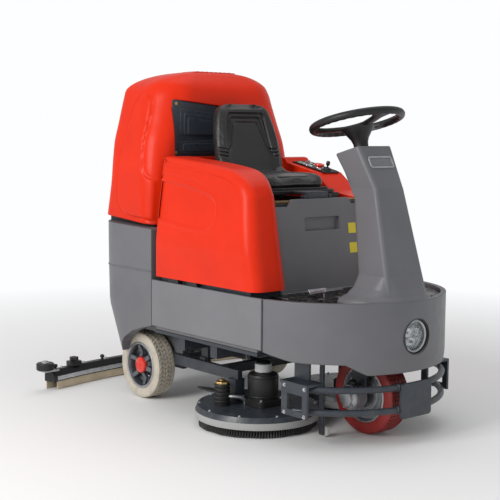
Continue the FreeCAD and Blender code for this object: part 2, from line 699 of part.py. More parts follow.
def make_console():
    """Control panel plate lying on the sloped top of the left cover."""
    turn = CONSOLE_TURN
    plate = doc.addObject("Part::Box", "console_plate")
    plate.Length, plate.Width, plate.Height = 196, 92, 5
    plate.Placement = FreeCAD.Placement(Vector(0, 0, 0), turn)
    bind(plate, "Placement.Base.x", CONSOLE_X)
    bind(plate, "Placement.Base.y", D["cover_inner_y"] + 32)
    bind(plate, "Placement.Base.z", D["console_z"] - 11.2)
    holes = []
    for index, (along, across, radius) in enumerate(BUTTONS):
        holes.append(console_cylinder("console_hole_%d" % index, along, across,
                                      radius + D["clearance"], -30, 60))
    holes.append(console_cylinder("console_slot", 168, 46, 8.5, -30, 60))
    holes.append(console_pin("console_pin_bore", 2 + D["clearance"], 17))
    keep(subtract("console_cut", plate, fuse("console_holes", holes)), "control_panel")


def console_cylinder(name, along, across, radius, low, height):
    """A cylinder square to the console, placed by its distance along the plate."""
    shift = CONSOLE_TURN.multVec(Vector(along, across, low))
    return cylinder(name, radius, height,
                    (CONSOLE_X + shift.x, D["cover_inner_y"] + 32 + shift.y,
                     D["console_z"] - 11.2 + shift.z), CONSOLE_TURN)


def console_pin(name, radius, reach):
    """The lever's cross pin, in the middle of the plate's thickness."""
    shift = CONSOLE_TURN.multVec(Vector(168, 46 - reach, 2.5))
    return cylinder(name, radius, 2 * reach,
                    (CONSOLE_X + shift.x, D["cover_inner_y"] + 32 + shift.y,
                     D["console_z"] - 11.2 + shift.z), Y_TURN)


def make_controls():
    names = ("start_button", "stop_button", "key_switch", "emergency_stop")
    for index, name in enumerate(names):
        along, across, radius = BUTTONS[index]
        stem = console_cylinder(name + "_stem", along, across, radius, 0.3, 9)
        if name == "emergency_stop":
            head = console_cylinder(name + "_head", along, across, 21, 14, 9)
            neck = console_cylinder(name + "_neck", along, across, 12, 4, 12)
            keep(fuse(name + "_all", [stem, neck, head]), name)
        elif name == "key_switch":
            shift = CONSOLE_TURN.multVec(Vector(along - 2, across - 8, 8))
            blade = doc.addObject("Part::Box", "key_bow")
            blade.Length, blade.Width, blade.Height = 4, 16, 18
            blade.Placement = FreeCAD.Placement(Vector(0, 0, 0), CONSOLE_TURN)
            bind(blade, "Placement.Base.x", Size(CONSOLE_X + shift.x))
            bind(blade, "Placement.Base.y", D["cover_inner_y"] + 32 + shift.y)
            bind(blade, "Placement.Base.z", D["console_z"] - 11.2 + shift.z)
            keep(fuse(name + "_all", [stem, blade]), name)
        else:
            keep(stem, name)
    lever = [console_cylinder("lever_foot", 168, 46, 4.5, -8, 18),
             console_cylinder("lever_rod", 168, 46, 3.5, 4, 30),
             console_cylinder("lever_grip", 168, 46, 8, 28, 18),
             console_pin("lever_pin", 2, 16)]
    keep(fuse("lever_all", lever), "direction_lever")


# ---------------------------------------------------------------- seat
def make_seat_panel():
    body = new_body("seat_panel")
    front, top = D["panel_front_x"], D["panel_top_z"]
    reach = D["panel_half"]
    low = D["deck_z"] + 0
    prism(body, "y", [(front, low), (front - 46, top), (front - 60, top), (front - 60, low)],
          -reach, reach)
    cut_prism(body, "x", [(-165, top - 26), (-140, top + 10), (-reach - 5, top + 10),
                          (-reach - 5, top - 26)], 200, 500)
    cut_prism(body, "x", [(165, top - 26), (reach + 5, top - 26), (reach + 5, top + 10),
                          (140, top + 10)], 200, 500)
    cut_prism(body, "x", box_points(-92, 92, 737, 787), front - 50, 500)
    keep(body, "seat_base_panel")
    tags = new_body("decals")
    lean = 46.0 / 358.0
    for z0 in (718, 641):
        x_low = front - (z0 - low) * lean
        prism(tags, "y", [(x_low, z0), (x_low + 0.8, z0), (x_low + 0.8 - 40 * lean, z0 + 40),
                          (x_low - 40 * lean, z0 + 40)], 138, 178)
    keep(tags, "panel_decals")


def make_battery():
    pack = []
    for index, x0 in enumerate((-180, -55, 70)):
        pack.append(cuboid("battery_%d" % index, x0, x0 + 124, -200, 200, 400, 680))
    pack.append(cuboid("battery_tray", -189, 200, -207, 207, 392, 402))
    keep(fuse("batteries", pack), "battery_pack")
    feet = [cuboid("frame_leg_%d" % i, x, x + 30, y, y + 30, 310, 392)
            for i, (x, y) in enumerate(((-180, -186), (-180, 156), (160, -186), (160, 156)))]
    ring = [cuboid("frame_bar_r", -190, 200, -222, -208, 380, 842),
            cuboid("frame_bar_l", -190, 200, 208, 222, 380, 842),
            cuboid("frame_bar_f", 200, 214, -222, 222, 380, 842),
            cuboid("frame_shelf", -190, 214, -222, 222, 380, 392),
            cuboid("frame_top", 200, 311.5, -222, 222, 826, 842),
            cuboid("frame_edge", 300, 311.5, -200, 200, 490, 842),
            cuboid("frame_floor", 200, D["seam_front_x"] - 1, -half + 16, half - 16,
                   D["deck_z"] - 12, D["deck_z"])]
    for label, side in SIDES:
        y0, y1 = side_span(side, 255, 400)
        ring.append(cuboid("cover_rest_" + label, -165, 383, y0, y1, 488, D["cover_low_z"]))
        y0, y1 = side_span(side, 222, 256)
        ring.append(cuboid("cover_tie_" + label, -165, 200, y0, y1, 488, 500))
        y0, y1 = side_span(side, 140, 222)
        ring.append(cuboid("seat_rest_rear_" + label, -180, -120, y0, y1, 830, 870))
        ring.append(cuboid("seat_rest_front_" + label, 150, 200, y0, y1, 830, 870))
        y0, y1 = side_span(side, 60, 72)
        ring.append(cuboid("seat_lug_" + label, 292, 311.5, y0, y1, 840, 872))
    bore = cylinder("seat_lug_bore", D["hinge_r"] + D["clearance"], 200, (302, -100, 864), Y_TURN)
    keep(subtract("seat_frame_cut", fuse("seat_frame_all", feet + ring), bore),
         "seat_support_frame")


def make_seat():
    pan = new_body("pan")
    block(pan, -180, 232, -196, 196, D["cushion_low_z"] - 22, D["cushion_low_z"] - 6)
    fillet(pan, 60, lambda e: runs(e, "z"))
    prism(pan, "y", box_points(232 - 60, 310, D["cushion_low_z"] - 18, D["cushion_low_z"] - 8),
          -56, 56)
    block(pan, -150, 206, -176, 176, D["cushion_low_z"] - 8, D["cushion_low_z"])
    knuckle = cuboid("pan_knuckle", 295, 309, -56, 56, 856, 876)
    pin = cylinder("pan_pin", D["hinge_r"], 152, (302, -76, 864), Y_TURN)
    keep(fuse("pan_all", [pan, knuckle, pin]), "seat_pan")
    cushion = new_body("cushion")
    s = D["seat_half"]
    low, top, rear = D["cushion_low_z"], D["cushion_top_z"], D["seat_rear_x"]
    block(cushion, rear + 40, D["seat_front_x"], -s, s, low, top)
    fillet(cushion, 55, lambda e: runs(e, "z") and mid(e).x > 0)
    fillet(cushion, 16, lambda e: e.BoundBox.ZMin > top.number - 1)
    keep(cushion, "seat_cushion")
    back = new_body("backrest")
    high = D["back_top_z"]
    prism(back, "y", [(rear + 39.7, low), (rear + 39.7, top), (rear + 44, top + 24),
                      (rear - 24, high - 18), (rear - 36, high), (rear - 60, high - 4),
                      (rear - 74, high - 30), (rear - 24, low + 20), (rear - 16, low)],
          -D["back_half"], D["back_half"])
    s = D["back_half"]
    for side in (-1, 1):
        cut_prism(back, "x", [(side * s, 1020), (side * (s + 100), 1020),
                              (side * (s + 100), high + 60), (side * 84, high + 60),
                              (side * 84, high), (side * 126, high - 26),
                              (side * 144, high - 70), (side * (s - 6), high - 160)], -300, 20)
    fillet(back, 8, lambda e: runs(e, "y") and e.BoundBox.ZMin > high.number - 5)
    keep(back, "seat_backrest")


# ---------------------------------------------------------------- drive unit
def make_drive():
    x, r, w = D["drive_x"], D["drive_r"], D["drive_w"] * 0.5
    spot = (x, 0, r)
    tyre = new_body("drive_tyre_body")
    turned(tyre, [(104, -w), (r - 8, -w), (r, -w + 9), (r, w - 9), (r - 8, w), (104, w)], spot,
           Y_TURN)
    keep(tyre, "drive_tyre")
    hub = new_body("drive_hub_body")
    turned(hub, [(20 + D["clearance"], -w + 8), (60, -w + 8), (66, -w + 22), (96, -w + 22),
                 (98, -w + 2), (104, -w + 2), (104, w - 2), (98, w - 2), (96, w - 20),
                 (58, w - 20), (54, w - 6), (20 + D["clearance"], w - 6)], spot, Y_TURN)
    keep(hub, "drive_hub")
    fork = [cuboid("fork_crown", x - 60, x + 60, -86, 86, 300, 316),
            cylinder("fork_pin", D["pivot_r"], 96, (x, 0, 310)),
            cuboid("fork_left", x - 34, x + 34, 60, 70, 110, 304),
            cuboid("fork_right", x - 34, x + 34, -70, -60, 110, 304),
            cylinder("fork_axle", 20, 140, (x, -70, r), Y_TURN)]
    keep(fuse("fork_all", fork), "steering_fork")
    motor = [cylinder("drive_motor_can", 46, 62, (x, -132, r), Y_TURN),
             cylinder("drive_motor_cap", 30, 12, (x, -142, r), Y_TURN)]
    keep(fuse("drive_motor_all", motor), "drive_motor")


# ---------------------------------------------------------------- brushes
def make_brushes():
    x, b = D["brush_x"], D["brush_r"]
    s, top, low = D["skirt_r"], D["deck_top_z"], D["skirt_low_z"]
    decks, skirts, motors, valves = [], [], [], []
    for label, side in SIDES:
        y = side * D["brush_y"]
        deck = new_body("deck_" + label)
        turned(deck, [(12.05, top - 6), (s - 14, top - 6), (s - 8, 46), (s, 46), (s, 58),
                      (s - 8, top), (12.05, top)], (x, y, 0))
        decks.append(deck)
        skirt = new_body("skirt_" + label)
        turned(skirt, [(s - 9, low), (s, low), (s, 46), (s - 9, 46)], (x, y, 0))
        skirts.append(skirt)
        disc = new_body("disc_" + label)
        turned(disc, [(70, 0), (b, 0), (b - 12, 40), (b - 12, 56), (40, 56), (40, 62), (12, 62),
                      (12, 100), (0, 100), (0, 40), (78, 40)], (x, y, 0))
        keep(disc, "scrub_brush_" + label)
        motors += [cylinder("motor_low_" + label, D["motor_r"], D["motor_top_z"] - 102,
                            (x + 26, y - side * 6, 102)),
                   cylinder("motor_high_" + label, 31, 46,
                            (x + 26, y - side * 6, D["motor_top_z"] - 2)),
                   subtract("motor_foot_bored_" + label,
                            cuboid("motor_foot_" + label, x - 40, x + 90, y - 60, y + 60, top, 104),
                            cylinder("motor_well_" + label, 12.05, 27, (x, y, 76)))]
        valve = new_body("valve_" + label)
        ribs = [(0, 78), (30, 78)]
        for index in range(5):
            z = 84 + index * 15
            ribs += [(30, z), (24, z + 3), (24, z + 8), (30, z + 11)]
        ribs += [(30, 160), (10, 162), (10, 174), (0, 174)]
        turned(valve, ribs, (x - 62, side * 372, 0))
        valves.append(valve)
    keep(fuse("decks", decks), "brush_decks")
    keep(fuse("skirts", skirts), "brush_skirts")
    keep(fuse("motors", motors), "brush_motors")
    keep(fuse("valves", valves), "water_valves")


def make_brush_carrier():
    pieces = []
    for label, side in SIDES:
        y0, y1 = side_span(side, 290, 312)
        pieces.append(cuboid("arm_" + label, -200, D["brush_x"] - 42, y0, y1, 163, 205))
        y0, y1 = side_span(side, 278, 324)
        pieces.append(cuboid("arm_pad_" + label, D["brush_x"] - 90, D["brush_x"] - 42, y0, y1,
                             D["deck_top_z"], 170))
        y0, y1 = side_span(side, 286.3, 296)
        pieces.append(cuboid("arm_post_" + label, -50, -16, y0, y1, 170, 216))
    pieces.append(cuboid("arm_cross_rear", -200, -170, -300, 300, 165, 200))
    pieces.append(cuboid("arm_cross_front", 60, 90, -300, 300, 165, 200))
    keep(fuse("brush_carrier_all", pieces), "brush_lift_frame")


# ---------------------------------------------------------------- bumper
def make_bumper():
    turn = Rotation(Vector(0, 0, 1), -64)
    spot_high = (D["nose_centre_x"], 0, D["tube_high_z"])
    spot_low = (D["nose_centre_x"], 0, D["tube_low_z"])
    path, tube = D["bumper_path_r"], D["bumper_tube_r"]
    high = torus("tube_high", path, tube, spot_high, turn, 128)
    low = torus("tube_low", path, tube, spot_low, turn, 128)
    plate = new_body("bumper_front")
    x = D["nose_centre_x"] + path
    block(plate, x + tube - 9, x + tube + 3, -78, 78, 103, 229)
    fillet(plate, 12, lambda e: runs(e, "x"))
    keep(fuse("bumper_all", [high, low, plate]), "front_bumper")
    for label, side in SIDES:
        body = new_body("bracket_" + label)
        y0, y1 = side_span(side, 370, 380)
        prism(body, "y", [(532, 116), (664, 116), (664, 228), (532, 228)], y0, y1)
        cut_prism(body, "y", box_points(562, 640, 138, 196), y0 - 5, y1 + 5)
        y0, y1 = side_span(side, 300, 380)
        prism(body, "z", box_points(524, 664, y0, y1), 228, 237)
        y0, y1 = side_span(side, 300, 310)
        prism(body, "y", box_points(524, 600, 237, 320), y0, y1)
        y0, y1 = side_span(side, 240, 310)
        prism(body, "z", box_points(524, 566, y0, y1), 310, 322)
        keep(body, "bumper_bracket_" + label)
        caster = new_body("guard_" + label)
        g = D["guard_r"]
        turned(caster, [(5 + D["clearance"], -8), (g - 2, -8), (g, -6), (g, 6), (g - 2, 8),
                        (5 + D["clearance"], 8)], (D["guard_x"], side * 182, g), Y_TURN)
        keep(caster, "guard_caster_" + label)


# ---------------------------------------------------------------- squeegee
def make_squeegee():
    r = D["squeegee_radius"]
    centre = (D["squeegee_centre_x"], 0, 0)
    body = new_body("squeegee_channel")
    turned(body, [(-r, 36), (-r + 56, 36), (-r + 56, 62), (-r + 40, 84), (-r + 12, 84), (-r, 66)],
           centre, None, D["squeegee_angle"])
    keep(body, "squeegee_body")
    rear = new_body("blade_rear")
    turned(rear, [(-r + 1, 0), (-r + 5, 0), (-r + 5, 36), (-r + 1, 36)], centre, None,
           D["squeegee_angle"] - 0.4)
    fore = new_body("blade_front")
    turned(fore, [(-r + 50, 2), (-r + 54, 2), (-r + 54, 36), (-r + 50, 36)], centre, None,
           D["squeegee_angle"] - 1.2)
    keep(fuse("blades", [rear, fore]), "squeegee_blades")
    yoke = [cuboid("yoke_plate", -800, -690, -70, 70, 84, 94),
            cylinder("yoke_port", 30, 76, (-770, 0, 90)),
            cuboid("yoke_arm_r", -700, -566, -70, -54, 84, 230),
            cuboid("yoke_arm_l", -700, -566, 54, 70, 84, 230),
            cylinder("yoke_pin", 9, 176, (-580, -88, 212), Y_TURN)]
    solid = fuse("yoke_all", yoke)
    keep(subtract("yoke_cut", solid, cylinder("yoke_bore", 22, 90, (-770, 0, 80))),
         "squeegee_yoke")
    mounts, knobs = [], []
    for label, side in SIDES:
        roller = new_body("end_roller_" + label)
        q = D["roller_r"]
        spot = (D["roller_x"], side * D["roller_y"], 0)
        turned(roller, [(6.05, 92), (q - 4, 92), (q, 96), (q, 122), (q - 4, 126), (6.05, 126)],
               spot)
        keep(roller, "end_roller_" + label)
        mounts += [cylinder("roller_pin_" + label, 6, 50, (spot[0], spot[1], 82)),
                   cylinder("roller_head_" + label, 11, 5, (spot[0], spot[1], 128)),
                   cuboid("roller_arm_" + label, -744, -694, *side_span(side, 560, 634), 84, 90)]
        knobs += [cylinder("knob_stud_" + label, 6, 34, (-758, side * 449, 84)),
                  cylinder("knob_head_" + label, 17, 18, (-758, side * 449, 104)),
                  cuboid("knob_base_" + label, -778, -736, *side_span(side, 420, 478), 84, 104)]
    keep(fuse("roller_mounts_all", mounts), "roller_mounts")
    keep(fuse("knobs_all", knobs), "squeegee_knobs")


make_chassis()
make_axle()
for name, sign in SIDES:
    make_wheel(name, sign)
make_rear_shell()
for name, sign in SIDES:
    make_side_panel(name, sign)
make_front_body()
make_steering()
make_front_trim()
make_pedal()
make_tank()
make_gasket()
make_right_cover()
make_left_cover()
make_console()
make_controls()
make_seat_panel()
make_battery()
make_seat()
make_drive()
make_brushes()
make_brush_carrier()
make_bumper()
make_squeegee()

doc.recompute()
for obj in doc.Objects:
    if "Invalid" in obj.State or "Error" in obj.State:
        raise RuntimeError("%s is %s" % (obj.Name, obj.State))
os.makedirs("parts", exist_ok=True)
for obj in WANTED:
    shape = obj.Shape
    if shape.isNull() or not shape.isValid() or not shape.Solids:
        raise RuntimeError("%s has no valid solid" % obj.Label)
    print("%-26s solids %d" % (obj.Label, len(shape.Solids)), shape.BoundBox)
    shape.exportStep("parts/%s.step" % obj.Label)
print(len(WANTED), "pieces")
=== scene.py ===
"""Looks of a ride-on floor scrubber, built around its CAD frame. Lengths are millimetres until make()."""

from math import copysign, cos, hypot, pi, radians, sin, sqrt

import bmesh
import bpy
import numpy as np
from mathutils import Matrix, Vector
from mathutils.bvhtree import BVHTree


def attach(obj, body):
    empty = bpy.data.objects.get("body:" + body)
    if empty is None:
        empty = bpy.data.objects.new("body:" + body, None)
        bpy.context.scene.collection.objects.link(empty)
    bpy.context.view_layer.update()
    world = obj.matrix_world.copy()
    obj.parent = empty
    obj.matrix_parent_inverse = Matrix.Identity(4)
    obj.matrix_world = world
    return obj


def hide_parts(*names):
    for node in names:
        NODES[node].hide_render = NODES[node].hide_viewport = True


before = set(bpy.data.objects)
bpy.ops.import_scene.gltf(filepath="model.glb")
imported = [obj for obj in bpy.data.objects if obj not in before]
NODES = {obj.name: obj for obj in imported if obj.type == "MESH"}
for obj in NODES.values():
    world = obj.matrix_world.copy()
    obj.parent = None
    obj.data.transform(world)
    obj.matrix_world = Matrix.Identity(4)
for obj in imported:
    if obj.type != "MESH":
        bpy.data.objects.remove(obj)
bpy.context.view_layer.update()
UP = (0, 0, 1)
MM = 0.001
SIDES = (("right", -1), ("left", 1))


# ------------------------------------------------------------------ materials
class Finish:
    """A procedural material built on one Principled shader, in object coordinates."""

    def __init__(self, name):
        self.mat = bpy.data.materials.new(name)
        self.mat.use_nodes = True
        self.tree = self.mat.node_tree
        self.tree.nodes.clear()
        self.out = self.add("ShaderNodeOutputMaterial")
        self.bsdf = self.add("ShaderNodeBsdfPrincipled")
        self.wire(self.bsdf.outputs[0], self.out.inputs["Surface"])
        self.place = self.add("ShaderNodeTexCoord").outputs["Object"]
        self.normal = self.corner = None

    def add(self, kind, **sets):
        made = self.tree.nodes.new(kind)
        for key, value in sets.items():
            setattr(made, key, value)
        return made

    def wire(self, a, b):
        self.tree.links.new(a, b)

    def put(self, socket, value):
        if hasattr(value, "is_output"):
            self.wire(value, socket)
        else:
            socket.default_value = value

    def stretched(self, scale):
        mapping = self.add("ShaderNodeMapping")
        mapping.inputs["Scale"].default_value = scale
        self.wire(self.place, mapping.inputs["Vector"])
        return mapping.outputs[0]

    def noise(self, scale, detail=3.0, rough=0.55, at=None):
        made = self.add("ShaderNodeTexNoise")
        self.wire(at or self.place, made.inputs["Vector"])
        made.inputs["Scale"].default_value = scale
        made.inputs["Detail"].default_value = detail
        made.inputs["Roughness"].default_value = rough
        return made.outputs["Fac"]

    def cells(self, scale, feature="F1", at=None):
        made = self.add("ShaderNodeTexVoronoi", feature=feature)
        self.wire(at or self.place, made.inputs["Vector"])
        made.inputs["Scale"].default_value = scale
        return made.outputs["Distance"]

    def waves(self, scale, axis="X", distort=0.0, at=None):
        made = self.add("ShaderNodeTexWave", bands_direction=axis)
        self.wire(at or self.place, made.inputs["Vector"])
        made.inputs["Scale"].default_value = scale
        made.inputs["Distortion"].default_value = distort
        return made.outputs["Fac"]

    def spread(self, fac, low, high, out_low=0.0, out_high=1.0):
        made = self.add("ShaderNodeMapRange")
        self.put(made.inputs["Value"], fac)
        for key, value in zip(("From Min", "From Max", "To Min", "To Max"), (low, high, out_low, out_high)):
            made.inputs[key].default_value = value
        return made.outputs[0]

    def maths(self, what, a, b=0.5):
        made = self.add("ShaderNodeMath", operation=what)
        self.put(made.inputs[0], a)
        self.put(made.inputs[1], b)
        return made.outputs[0]

    def mixed(self, fac, a, b):
        made = self.add("ShaderNodeMix", data_type="RGBA")
        self.put(made.inputs[0], fac)
        for socket, value in ((made.inputs[6], a), (made.inputs[7], b)):
            self.put(socket, value if hasattr(value, "is_output") else (*value, 1.0))
        return made.outputs[2]

    def axis(self, which):
        made = self.add("ShaderNodeSeparateXYZ")
        self.wire(self.place, made.inputs[0])
        return made.outputs[which]

    def edge(self, radius):
        """Rounded shading on hard corners."""
        made = self.add("ShaderNodeBevel", samples=6)
        made.inputs["Radius"].default_value = radius
        self.normal = self.corner = made.outputs[0]

    def bump(self, height, distance, strength=1.0):
        made = self.add("ShaderNodeBump")
        made.inputs["Distance"].default_value = distance
        made.inputs["Strength"].default_value = strength
        self.wire(height, made.inputs["Height"])
        if self.normal is not None:
            self.wire(self.normal, made.inputs["Normal"])
        self.normal = made.outputs[0]

    def worn(self, low, high):
        """1 along hard corners, broken up by noise."""
        made = self.add("ShaderNodeVectorMath", operation="DOT_PRODUCT")
        self.wire(self.corner, made.inputs[0])
        self.wire(self.add("ShaderNodeNewGeometry").outputs["Normal"], made.inputs[1])
        return self.maths("MULTIPLY", self.spread(made.outputs["Value"], 1 - low, 1 - high),
                          self.spread(self.noise(60, 5), 0.42, 0.6))

    def done(self, colour, rough, metallic=0.0, **sockets):
        self.put(self.bsdf.inputs["Base Color"], colour if hasattr(colour, "is_output") else (*colour, 1.0))
        self.put(self.bsdf.inputs["Roughness"], rough)
        self.bsdf.inputs["Metallic"].default_value = metallic
        for key, value in sockets.items():
            self.bsdf.inputs[key.replace("_", " ")].default_value = value
        if self.normal is not None:
            self.wire(self.normal, self.bsdf.inputs["Normal"])
        return self.mat


def tone(colour, k):
    return tuple(min(1.0, c * k) for c in colour)


def moulded(name, colour, rough, grain=900, height=0.00012, edge=0.003, coat=0.0, scuff=0.5, spec=0.4,
            dust=0.2):
    """Moulded plastic: soft corners, fine skin, faint cloudiness, scuffs on corners and dust low down."""
    f = Finish(name)
    f.edge(edge)
    f.bump(f.noise(grain, 2), height, 0.6)
    f.bump(f.noise(26, 2), 0.0009, 0.12)
    cloud = f.mixed(f.spread(f.noise(5.5, 4), 0.3, 0.7), tone(colour, 0.93), tone(colour, 1.06))
    specks = f.mixed(f.spread(f.cells(340), 0.0, 0.13, 0.10, 0.0), cloud, tone(colour, 1.7))
    scuffed = f.mixed(f.maths("MULTIPLY", f.worn(0.02, 0.16), scuff), specks,
                      tuple(0.7 * c + 0.1 for c in colour))
    dusty = f.mixed(f.maths("MULTIPLY", f.spread(f.axis(2), 0.05, 0.40, dust, 0.0), f.noise(14, 5)),
                    scuffed, (0.20, 0.19, 0.175))
    return f.done(dusty, f.spread(f.noise(34, 5), 0.25, 0.8, rough - 0.05, rough + 0.09),
                  Coat_Weight=coat, Coat_Roughness=0.12, Specular_IOR_Level=spec)


def painted(name, colour, rough=0.36, edge=0.0015):
    """Powder coated steel: orange peel, chips on corners, floor dust."""
    f = Finish(name)
    f.edge(edge)
    f.bump(f.noise(420, 2), 0.00022, 0.5)
    cloud = f.mixed(f.spread(f.noise(9, 5), 0.3, 0.7), tone(colour, 0.82), tone(colour, 1.16))
    chipped = f.mixed(f.maths("MULTIPLY", f.worn(0.03, 0.18), 0.4), cloud, (0.22, 0.23, 0.25))
    dusty = f.mixed(f.maths("MULTIPLY", f.spread(f.axis(2), 0.0, 0.3, 0.22, 0.02),
                            f.spread(f.noise(30, 6), 0.4, 0.7)), chipped, (0.17, 0.165, 0.155))
    return f.done(dusty, f.spread(f.noise(50, 4), 0.25, 0.8, rough - 0.07, rough + 0.15),
                  Specular_IOR_Level=0.55)


def metal(name, colour, rough=0.26, brush=(30, 30, 900), edge=0.001):
    f = Finish(name)
    f.edge(edge)
    f.bump(f.noise(1.0, 3, 0.6, f.stretched(brush)), 0.00008, 0.5)
    cloud = f.mixed(f.spread(f.noise(24, 5), 0.3, 0.7), tone(colour, 0.72), colour)
    return f.done(cloud, f.spread(f.noise(70, 5), 0.25, 0.8, rough - 0.08, rough + 0.16), 0.95)


def rubber(name, colour, rough=0.62, dust=0.3, edge=0.0015):
    f = Finish(name)
    f.edge(edge)
    f.bump(f.noise(650, 3), 0.0003, 0.5)
    cloud = f.mixed(f.spread(f.noise(22, 5), 0.3, 0.7), tone(colour, 0.82), tone(colour, 1.14))
    dusty = f.mixed(f.maths("MULTIPLY", f.spread(f.noise(11, 6), 0.42, 0.75), dust), cloud,
                    (0.33, 0.30, 0.26))
    return f.done(dusty, f.spread(f.noise(90, 4), 0.2, 0.8, rough - 0.08, rough + 0.12))


def vinyl(name, colour):
    """Grained seat vinyl with a dull sheen and worn high spots."""
    f = Finish(name)
    f.bump(f.cells(620, "SMOOTH_F1"), 0.0005, 0.55)
    f.bump(f.noise(46, 4), 0.0016, 0.35)
    cloud = f.mixed(f.spread(f.noise(13, 5), 0.3, 0.75), tone(colour, 0.8), tone(colour, 1.35))
    worn = f.mixed(f.spread(f.noise(4.5, 3), 0.5, 0.75, 0.0, 0.35), cloud, tone(colour, 2.1))
    return f.done(worn, f.spread(f.noise(70, 4), 0.25, 0.8, 0.32, 0.46), Sheen_Weight=0.06,
                  Sheen_Roughness=0.4,
                  Specular_IOR_Level=0.5)


RED = (0.68, 0.024, 0.0035)
GREY = (0.132, 0.133, 0.145)
# Panel grey is a lighter copy of the grey plastic; on the seat base panel it is painted light, lifting a face
# the column shades.
GREY_PANEL_PAINTED_LIGHT = (0.166, 0.166, 0.178)
SLATE = (0.026, 0.033, 0.045)
BLACK = (0.009, 0.009, 0.010)

M = {
    "red": moulded("red_skin", RED, 0.36, 700, 0.00008, 0.006, 0.03, 0.05, 0.16, 0.0),
    "grey": moulded("grey_skin", GREY, 0.42, 850, 0.00012, 0.006, 0.0, 0.25),
    "panel": moulded("panel_skin", GREY_PANEL_PAINTED_LIGHT, 0.40, 850, 0.00012, 0.006, 0.0, 0.25),
    "black": moulded("black_skin", BLACK, 0.42, 800, 0.00014, 0.002, 0.0, 0.15, 0.4, 0.06),
    "black_gloss": moulded("black_gloss", (0.008, 0.008, 0.009), 0.24, 500, 0.00006, 0.001, 0.2, 0.1, 0.4,
                           0.05),
    "slate": painted("slate_paint", SLATE),
    "steel": painted("frame_paint", (0.022, 0.028, 0.038), 0.40),
    "tray": painted("tray_paint", (0.030, 0.040, 0.054), 0.30),
    "bright": metal("bright_steel", (0.62, 0.63, 0.65), 0.24),
    "chrome": metal("chrome", (0.86, 0.87, 0.88), 0.10, (40, 40, 40), 0.0004),
    "cast": metal("cast_alloy", (0.50, 0.51, 0.53), 0.38, (300, 300, 300)),
    "dark_cast": metal("dark_alloy", (0.22, 0.23, 0.25), 0.34, (260, 260, 260)),
    "brass": metal("brass", (0.60, 0.40, 0.17), 0.30, (200, 200, 200)),
    "cream": rubber("cream_rubber", (0.50, 0.455, 0.375), 0.6, 0.16),
    # Groove floor rubber: the cream darkened as painted shade in the grooves, with more dust.
    "cream_groove_shade": rubber("cream_groove_shade", (0.24, 0.20, 0.15), 0.75, 0.4),
    "tan": rubber("tan_rubber", (0.56, 0.46, 0.32), 0.5, 0.12),
    "rubber": rubber("black_rubber", (0.012, 0.012, 0.013), 0.55, 0.04),
    "red_tread": rubber("red_urethane", (0.27, 0.014, 0.012), 0.42, 0.06),
    # Groove floor urethane: the red darkened as painted shade in the grooves, with more dust.
    "red_groove_shade": rubber("red_groove_shade", (0.06, 0.018, 0.016), 0.6, 0.3),
    "vinyl": vinyl("seat_vinyl", (0.0115, 0.0108, 0.0112)),
    "skirt": moulded("skirt_plastic", (0.36, 0.36, 0.36), 0.42, 600, 0.00015, 0.002, 0.0, 0.1),
    "bristle": rubber("bristle_nylon", (0.010, 0.010, 0.011), 0.5, 0.05),
    "yellow": moulded("yellow_film", (0.78, 0.66, 0.045), 0.5, 900, 0.00005, 0.0005, 0.0, 0.0),
    "green_cap": moulded("green_cap", (0.03, 0.32, 0.09), 0.22, 400, 0.00004, 0.001, 0.3, 0.0),
    "red_cap": moulded("red_cap", (0.72, 0.030, 0.015), 0.24, 400, 0.00004, 0.001, 0.3, 0.0),
    "white": moulded("white_wheel", (0.60, 0.60, 0.57), 0.42, 600, 0.0001, 0.001, 0.0, 0.0),
    "label": moulded("pale_label", (0.50, 0.51, 0.51), 0.45, 900, 0.00004, 0.0004, 0.0, 0.0),
    "wood": rubber("strip_foam", (0.16, 0.10, 0.025), 0.5, 0.1),
}


def mat_floor():
    """Footwell rubber with raised lozenges and a wet-looking sheen."""
    f = Finish("footwell_rubber")
    f.edge(0.002)
    turned = f.add("ShaderNodeMapping")
    turned.inputs["Rotation"].default_value = (0, 0, 0.785)
    turned.inputs["Scale"].default_value = (38, 22, 1)
    f.wire(f.place, turned.inputs["Vector"])
    lozenge = f.cells(1.0, "F1", turned.outputs[0])
    f.bump(f.spread(lozenge, 0.22, 0.5, 1.0, 0.0), 0.005, 1.0)
    f.bump(f.noise(500, 3), 0.0003, 0.5)
    colour = f.mixed(f.spread(f.noise(16, 5), 0.35, 0.7), (0.010, 0.009, 0.009), (0.034, 0.028, 0.027))
    return f.done(colour, f.spread(f.noise(24, 4), 0.25, 0.8, 0.16, 0.42))


def mat_lens():
    f = Finish("lamp_glass")
    f.bump(f.waves(90, "Y"), 0.0006, 0.5)
    return f.done(f.mixed(f.noise(40, 3), (0.90, 0.93, 0.95), (0.97, 0.98, 0.99)),
                  f.spread(f.noise(90, 3), 0.3, 0.7, 0.02, 0.07),
                  Transmission_Weight=1.0, IOR=1.3)


M["mat"] = mat_floor()
M["lens"] = mat_lens()

